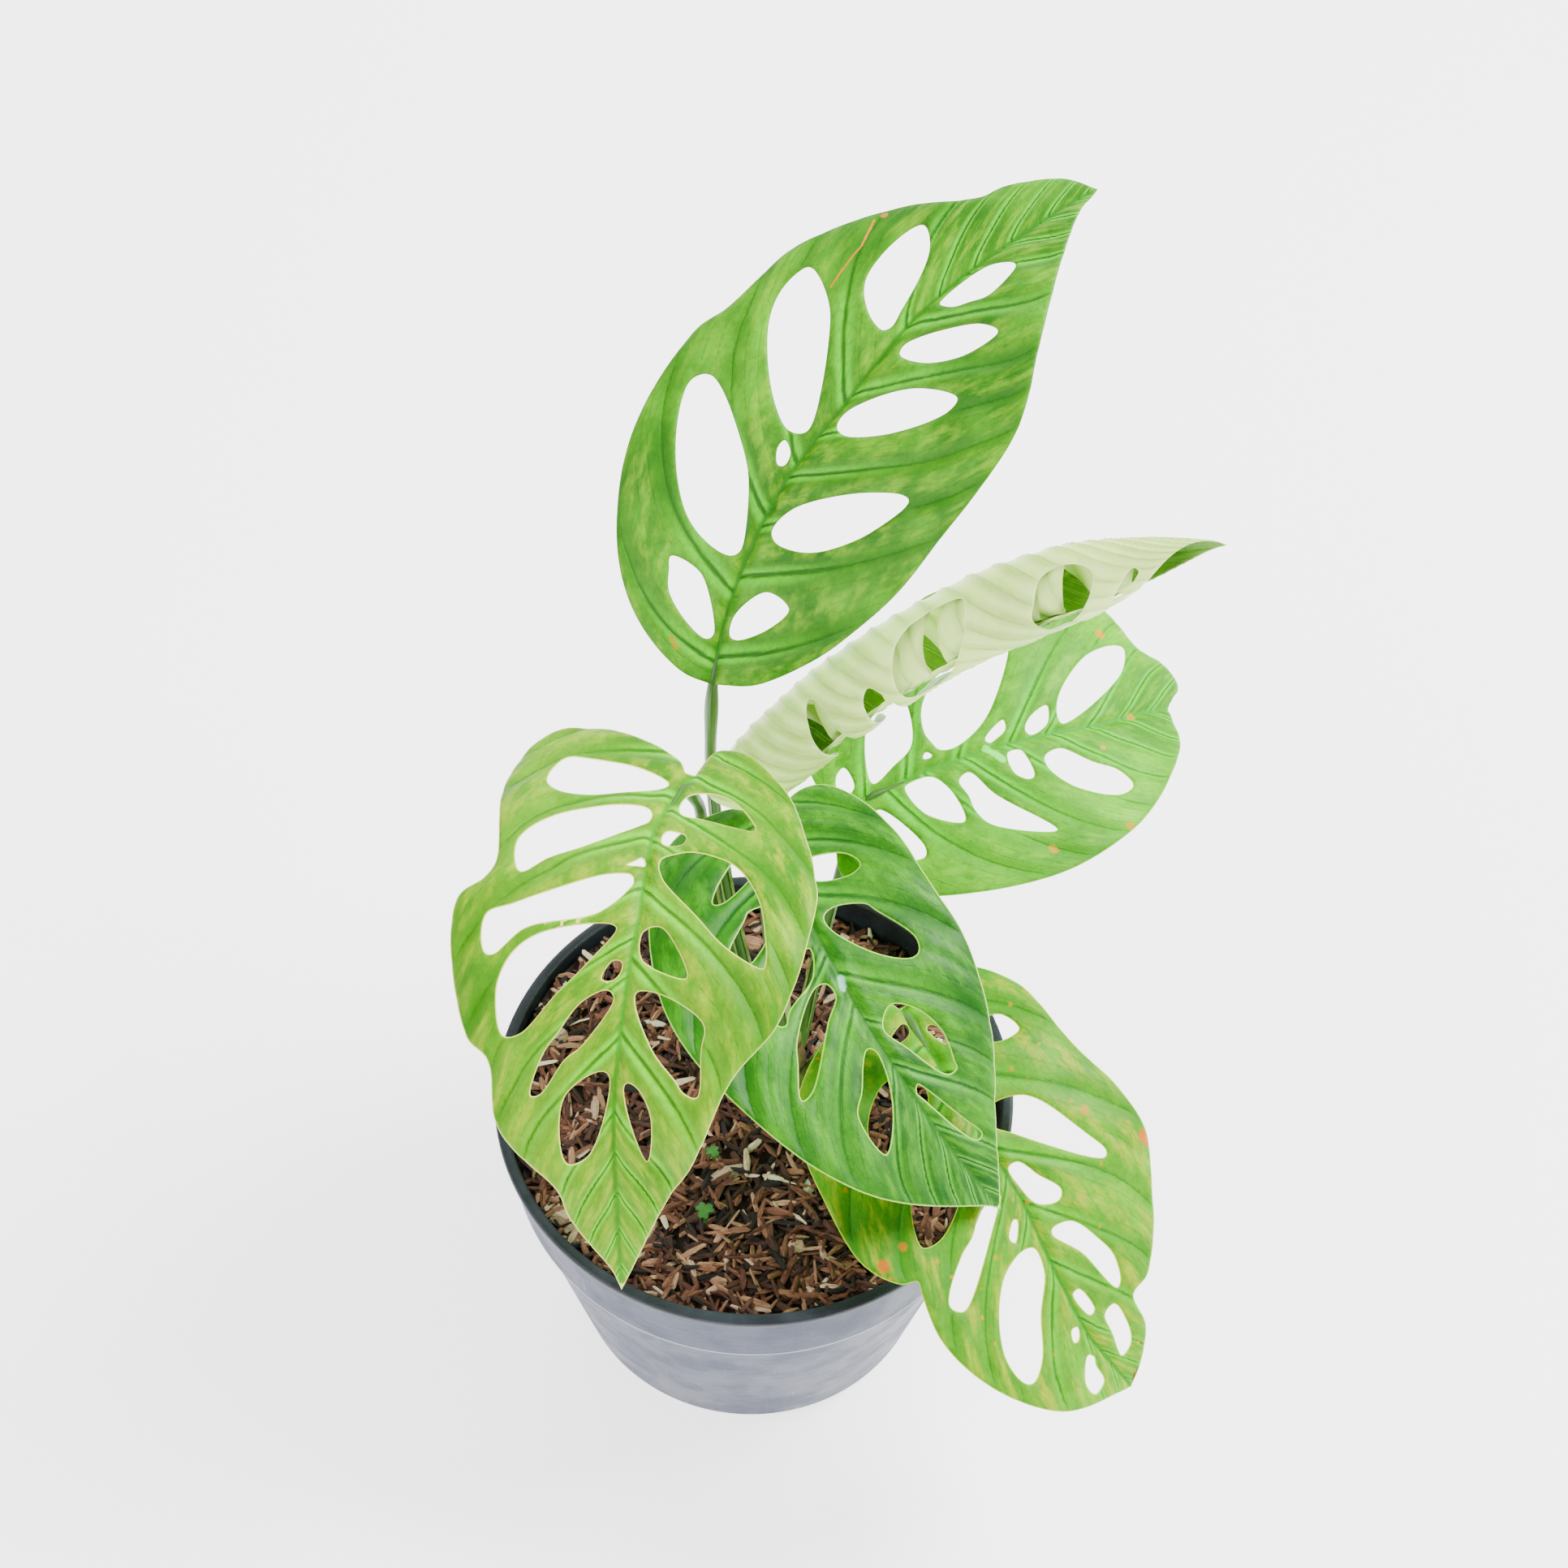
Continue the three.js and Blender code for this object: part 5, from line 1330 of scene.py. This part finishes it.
def stalk_object(name, leaf, points):
    """A leaf stalk: a grooved bar with a swollen joint under the blade and two sheath wings."""
    rise = np.array([3.0, 9.0, 17.0])
    if "roll_radius" in leaf:
        tops = rolled(leaf, rise, np.full(3, leaf["roll_midrib"]))
        axis, _, _ = spine(leaf, rise)
        away = tops - axis
        tops = tops + away / np.linalg.norm(away, axis=1)[:, None] * np.array([1.6, 1.2, 0.8])[:, None]
    else:
        _, _, up = spine(leaf, rise)
        tops = arched(leaf, rise, midrib_at(leaf, rise)) - up * np.array([1.5, 1.2, 0.9])[:, None]
    path = smooth_path(list(map(tuple, points[:-1])) + [tuple(p) for p in tops], 64)
    u = np.linspace(0, 1, len(path))
    radii = 2.75 - 0.85 * np.minimum(1, u * 2.2)
    radii += 0.35 * np.exp(-(((u - 0.84) / 0.05) ** 2))
    radii *= np.where(u > 0.88, 1 - (u - 0.88) / 0.12 * 0.68, 1)
    sides = 18
    verts, faces = tube(path, radii, sides)
    values = run_values(path, sides)
    # Sheath wings stand on both sides of the groove that faces the crown's middle.
    middle = np.array([11.0, 10.0])
    last = int(len(path) * 0.6)
    ahead = np.gradient(path, axis=0)
    ahead /= np.linalg.norm(ahead, axis=1)[:, None]
    for sign in (-1, 1):
        start = len(verts)
        strip = []
        for i in range(2, last):
            inward = np.array([*(middle - path[i][:2]), 0.0])
            inward -= ahead[i] * (inward @ ahead[i])
            inward /= max(np.linalg.norm(inward), 1e-6)
            side = np.cross(ahead[i], inward) * sign
            grow = math.sin(math.pi * min(1, (last - i) / (last - 2) * 1.15)) ** 0.6 if i < last - 1 else 0
            reach = 1.9 * max(0, grow)
            wave = 0.25 * math.sin(i * 0.9 + sign)
            foot = path[i] + side * radii[i] * 0.72 + inward * radii[i] * 0.45
            edge = foot + side * reach * 0.35 + inward * (reach + wave * reach * 0.4)
            strip += [foot - side * 0.25, foot + side * 0.25, edge]
        rows = last - 2
        for r in range(rows - 1):
            a, b = start + r * 3, start + (r + 1) * 3
            for j in range(3):
                k = (j + 1) % 3
                quad = (a + j, b + j, b + k, a + k)
                faces.append(quad if sign < 0 else quad[::-1])
        faces.append((start, start + 1, start + 2) if sign < 0 else (start + 2, start + 1, start))
        end = start + (rows - 1) * 3
        faces.append((end + 2, end + 1, end) if sign < 0 else (end, end + 1, end + 2))
        verts = np.vstack([verts, strip])
        values += [((i // 3 + 2) / len(path), 0.0, (0.25, 0.25, 1.0)[i % 3]) for i in range(len(strip))]
    obj = mesh_from(name, verts, faces)
    add_values(obj.data, "run", values)
    return obj


def stem_object():
    """The crown and its roots as one piece, ringed by old leaf scars."""
    path = smooth_path(STEM, 60)
    u = np.linspace(0, 1, len(path))
    radii = STEM_RADIUS * (1 + 0.05 * np.sin(u * 56)) * np.where(u > 0.92, 1 - (u - 0.92) / 0.08 * 0.45, 1)
    verts, faces = tube(path, radii, 28)
    values = run_values(path, 28)
    for root in ROOTS:
        line = smooth_path(root, 24)
        more, more_faces = tube(line, ROOT_RADIUS * np.linspace(1, 0.45, len(line)), 10)
        faces += [tuple(v + len(verts) for v in face) for face in more_faces]
        verts = np.vstack([verts, more])
        values += run_values(line, 10)
    obj = mesh_from("crown_and_roots", verts, faces)
    add_values(obj.data, "run", values)
    return obj


def border_faces(rows, columns, start):
    """Faces that join the borders of two grids of points, the second one right after the first."""
    layer = rows * columns
    ring = list(range(columns))
    ring += [r * columns + columns - 1 for r in range(1, rows)]
    ring += [(rows - 1) * columns + c for c in range(columns - 2, -1, -1)]
    ring += [r * columns for r in range(rows - 2, 0, -1)]
    ring = [start + corner for corner in ring]
    return [(b, a, a + layer, b + layer) for a, b in zip(ring, ring[1:] + ring[:1])]


def seedling_object(name, at, height, leaflet, turn):
    """A clover seedling: a bent thread of a stem and three notched leaflets."""
    x, y = at
    foot = soil_height(x, y)
    bend = (x + 0.4, y + 0.2, foot + height * 0.5)
    stem = smooth_path([(x, y, foot - 3.5), bend, (x, y, foot + height)], 16)
    verts, faces = tube(stem, np.linspace(0.6, 0.42, len(stem)), 10)
    values = [(0.2, 0.0, 0.0)] * len(verts)
    for i in range(3):
        angle = math.radians(turn + 120 * i)
        out = np.array([math.cos(angle), math.sin(angle), 0])
        side = np.array([-math.sin(angle), math.cos(angle), 0])
        rows, columns = 9, 9
        start = len(verts)
        for face in (0.3, -0.3):
            for r in range(rows):
                for c in range(columns):
                    v = c / (columns - 1) * 2 - 1
                    u = r / (rows - 1)
                    swell = math.sin(math.pi * min(0.5, 0.06 + 0.5 * u**0.8))
                    width = leaflet * 0.98 * math.sqrt(max(0.0, swell))
                    width *= 1.0 if u < 0.7 else math.sqrt(max(0.02, 1 - ((u - 0.7) / 0.34) ** 2))
                    notch = 0.28 * leaflet * max(0, u - 0.6) / 0.4 * (1 - abs(v)) ** 2
                    reach = leaflet * 1.7 * u - notch
                    lift = 0.10 * leaflet * abs(v) * math.sin(math.pi * u) - 0.18 * leaflet * u * u
                    place = np.array([x, y, foot + height]) + out * reach + side * width * v
                    place[2] += lift + face
                    verts = np.vstack([verts, place])
                    values.append((u, v, 0.0))
        layer = rows * columns
        for r in range(rows - 1):
            for c in range(columns - 1):
                a = start + r * columns + c
                faces.append((a, a + columns, a + columns + 1, a + 1))
                b = a + layer
                faces.append((b, b + 1, b + columns + 1, b + columns))
        faces += border_faces(rows, columns, start)
    obj = mesh_from(name, verts, faces)
    add_values(obj.data, "run", values)
    return obj


def coil_object(leaf):
    """The innermost turns of the young leaf, a twisted ribbon that shows through its windows."""
    steps, across = 150, 6
    verts, values = [], []
    for face in (0.25, -0.25):
        for i in range(steps):
            u = i / (steps - 1)
            turn = 2 * math.pi * COIL_TURNS * u
            reach = COIL_WIDTH * (0.35 + 0.65 * math.sin(math.pi * u) ** 0.5)
            for j in range(across):
                v = j / (across - 1) - 0.5
                s = np.array([COIL_START + (COIL_END - COIL_START) * u + v * reach])
                axis, right, up = (value[0] for value in spine(leaf, s))
                along = (s[0] + leaf["heel"]) / (leaf["heel"] + leaf["length"])
                radius = float(between(leaf["roll_radius"], along)) * (0.7 + 0.1 * math.sin(turn * 1.7))
                radius -= 0.8 * (1 - 4 * v * v)
                out = right * math.cos(turn) + up * math.sin(turn)
                verts.append(axis + out * (radius + face))
                values.append((s[0] / 10, v * 3, 1.0 + 2 * (0.5 - abs(v))))
    faces = []
    layer = steps * across
    for i in range(steps - 1):
        for j in range(across - 1):
            a = i * across + j
            faces.append((a, a + 1, a + across + 1, a + across))
            faces.append((a + layer, a + layer + across, a + layer + across + 1, a + layer + 1))
    faces += border_faces(steps, across, 0)
    obj = mesh_from("young_inner_coil", verts, faces)
    add_values(obj.data, "pattern", values)
    add_values(obj.data, "veins", [(value[0] * 1.2 + 0.3, value[0] * 1.2, 1.0) for value in values])
    return obj


class PlantSettings(bpy.types.PropertyGroup):
    """Sizes and colours of the plant and its pot."""

    blade_spacing: bpy.props.FloatProperty(
        name="Blade mesh spacing", description="Distance between points of a leaf blade",
        default=1.3 * MM, min=0.5 * MM, max=6 * MM, precision=4, unit="LENGTH",
    )
    blade_thickness: bpy.props.FloatProperty(
        name="Blade thickness", description="Thickness of a leaf blade",
        default=0.6 * MM, min=0.2 * MM, max=0.8 * MM, precision=5, unit="LENGTH",
    )
    chip_count: bpy.props.IntProperty(
        name="Chips", description="Number of loose bark and husk chips on the mix",
        default=4200, min=100, max=6000,
    )
    pot_outside: bpy.props.FloatVectorProperty(
        name="Pot outside", description="Colour of the pot's dusty outside", subtype="COLOR", size=3,
        default=hue("363C52")[:3], min=0, max=1,
    )
    pot_inside: bpy.props.FloatVectorProperty(
        name="Pot inside", description="Colour of the pot's inside and lip", subtype="COLOR", size=3,
        default=hue("22262C")[:3], min=0, max=1,
    )
    floor_colour: bpy.props.FloatVectorProperty(
        name="Floor", description="Colour of the studio floor", subtype="COLOR", size=3,
        default=(0.92, 0.92, 0.92), min=0, max=1,
    )
    floor_glow: bpy.props.FloatProperty(
        name="Floor glow", description="Light that the floor itself gives, as on a light table",
        default=2.2, min=0, max=10,
    )
    lamp_power: bpy.props.FloatProperty(
        name="Lamp power", description="Power of the main soft lamp",
        default=74.0, min=0, max=500, unit="POWER",
    )


class PLANT_OT_pot(bpy.types.Operator):
    """Build the nursery pot"""

    bl_idname = "plant.pot"
    bl_label = "Pot"

    def execute(self, context):
        settle(pot_object(), "pot_plastic", pot_material(context.scene.plant), "pot")
        return {"FINISHED"}


class PLANT_OT_mix(bpy.types.Operator):
    """Fill the pot with bark mix and cover it with chips"""

    bl_idname = "plant.mix"
    bl_label = "Potting mix"

    def execute(self, context):
        bark = bark_material()
        settle(mix_bed_object(), "bark_mix", bark, "potting_mix")
        count = context.scene.plant.chip_count // len(CHIP_LAYERS)
        for name, seed, *layer in CHIP_LAYERS:
            draw = random.Random(seed)
            settle(chips_object(name, draw, chip_places(draw, count, *layer)), "bark_mix", bark)
        draw = random.Random(CHUNK_SEED)
        settle(chips_object("wood_chunks", draw, chunk_places(draw)), "bark_mix", bark)
        return {"FINISHED"}


class PLANT_OT_stem(bpy.types.Operator):
    """Build the crown and its roots"""

    bl_idname = "plant.stem"
    bl_label = "Stem and roots"

    def execute(self, context):
        settle(stem_object(), "stem_green", stem_material(), "stem_and_roots")
        return {"FINISHED"}


class PLANT_OT_leaves(bpy.types.Operator):
    """Build the leaf blades with their windows and veins"""

    bl_idname = "plant.leaves"
    bl_label = "Leaf blades"

    def execute(self, context):
        settings = context.scene.plant
        spacing, thickness = settings.blade_spacing / MM, settings.blade_thickness / MM
        for seed, (key, leaf) in enumerate(LEAVES.items()):
            obj = blade_object("blade_" + key, leaf, spacing, thickness, seed * 7.3)
            material = leaf_material("leaf " + key, leaf["look"], leaf.get("marks", ()))
            settle(obj, leaf["slot"], material, "leaf_" + key)
        young = LEAVES["young_rolled"]
        settle(coil_object(young), young["slot"], material, "leaf_young_rolled")
        return {"FINISHED"}


class PLANT_OT_stalks(bpy.types.Operator):
    """Build the leaf stalks with their sheath wings"""

    bl_idname = "plant.stalks"
    bl_label = "Leaf stalks"

    def execute(self, context):
        green = stalk_material("grown stalk", "426E26", "39642A", "2A5420", "8EA848")
        young = stalk_material("young stalk", "9CBC5C", "B9D07A", "B4CF78", "D3DE96")
        for key, points in STALKS.items():
            material = young if key == "young_rolled" else green
            stalk = stalk_object("petiole_" + key, LEAVES[key], points)
            settle(stalk, "stalk_green", material, "stalk_" + key)
        return {"FINISHED"}


class PLANT_OT_seedlings(bpy.types.Operator):
    """Build the clover seedlings"""

    bl_idname = "plant.seedlings"
    bl_label = "Seedlings"

    def execute(self, context):
        green = seedling_material()
        for name, at, height, leaflet, turn in SEEDLINGS:
            weed = seedling_object(name.replace("clover", "weed"), at, height, leaflet, turn)
            settle(weed, "seedling_green", green, name)
        return {"FINISHED"}


class PLANT_OT_stage(bpy.types.Operator):
    """Build the floor, the soft lamps and the camera"""

    bl_idname = "plant.stage"
    bl_label = "Stage"

    def execute(self, context):
        settings = context.scene.plant
        reach, z = FLOOR_REACH, -FLOOR_DROP
        corners = [(-reach, -reach, z), (reach, -reach, z), (reach, reach, z), (-reach, reach, z)]
        floor = mesh_from("studio_floor", corners, [(0, 1, 2, 3)])
        surface = Surface("studio floor")
        surface.put(Base_Color=(*settings.floor_colour, 1), Roughness=0.9)
        surface.put(Emission_Color=(1, 1, 1, 1), Emission_Strength=settings.floor_glow)
        floor.data.materials.append(surface.material)
        for name, place, size, share in LAMPS:
            data = bpy.data.lights.new(name, "AREA")
            data.energy, data.size = settings.lamp_power * share, size
            lamp = new_object(name, data)
            lamp.location = place
            lamp.rotation_euler = (Vector(LAMP_AIM) - Vector(place)).to_track_quat("-Z", "Y").to_euler()
        world = bpy.data.worlds.new("studio")
        world.use_nodes = True
        sky = world.node_tree.nodes["Background"].inputs
        sky[0].default_value, sky[1].default_value = (1, 1, 1, 1), SKY_GLOW
        context.scene.world = world
        data = bpy.data.cameras.new("photo camera")
        data.lens, data.sensor_width = CAMERA_LENS, CAMERA_SENSOR
        data.clip_start, data.clip_end = CAMERA_CLIP
        camera = new_object("photo camera", data)
        camera.matrix_world = Matrix.Translation(Vector(CAMERA_PLACE) * MM) @ Matrix(CAMERA_TURN).to_4x4()
        context.scene.camera = camera
        return {"FINISHED"}


class PLANT_PT_panel(bpy.types.Panel):
    """Lists the pieces of the plant"""

    bl_idname = "PLANT_PT_panel"
    bl_label = "Windowed monstera"
    bl_space_type = "VIEW_3D"
    bl_region_type = "UI"
    bl_category = "Plant"

    def draw(self, context):
        settings = context.scene.plant
        for key in settings.bl_rna.properties.keys():
            if key not in {"rna_type", "name"}:
                self.layout.prop(settings, key)
        for operator in OPERATORS:
            self.layout.operator(operator.bl_idname)


OPERATORS = (
    PLANT_OT_stage,
    PLANT_OT_pot,
    PLANT_OT_mix,
    PLANT_OT_stem,
    PLANT_OT_leaves,
    PLANT_OT_stalks,
    PLANT_OT_seedlings,
)
CLASSES = (PlantSettings, *OPERATORS, PLANT_PT_panel)


def register():
    for cls in CLASSES:
        bpy.utils.register_class(cls)
    bpy.types.Scene.plant = bpy.props.PointerProperty(type=PlantSettings)


def unregister():
    del bpy.types.Scene.plant
    for cls in reversed(CLASSES):
        bpy.utils.unregister_class(cls)


def main():
    register()
    vein_group()
    mottle_group()
    mark_group()
    for operator in OPERATORS:
        group, name = operator.bl_idname.split(".")
        result = getattr(getattr(bpy.ops, group), name)()
        if result != {"FINISHED"}:
            raise RuntimeError(operator.bl_label + " wasn't built")


if __name__ == "__main__":
    main()
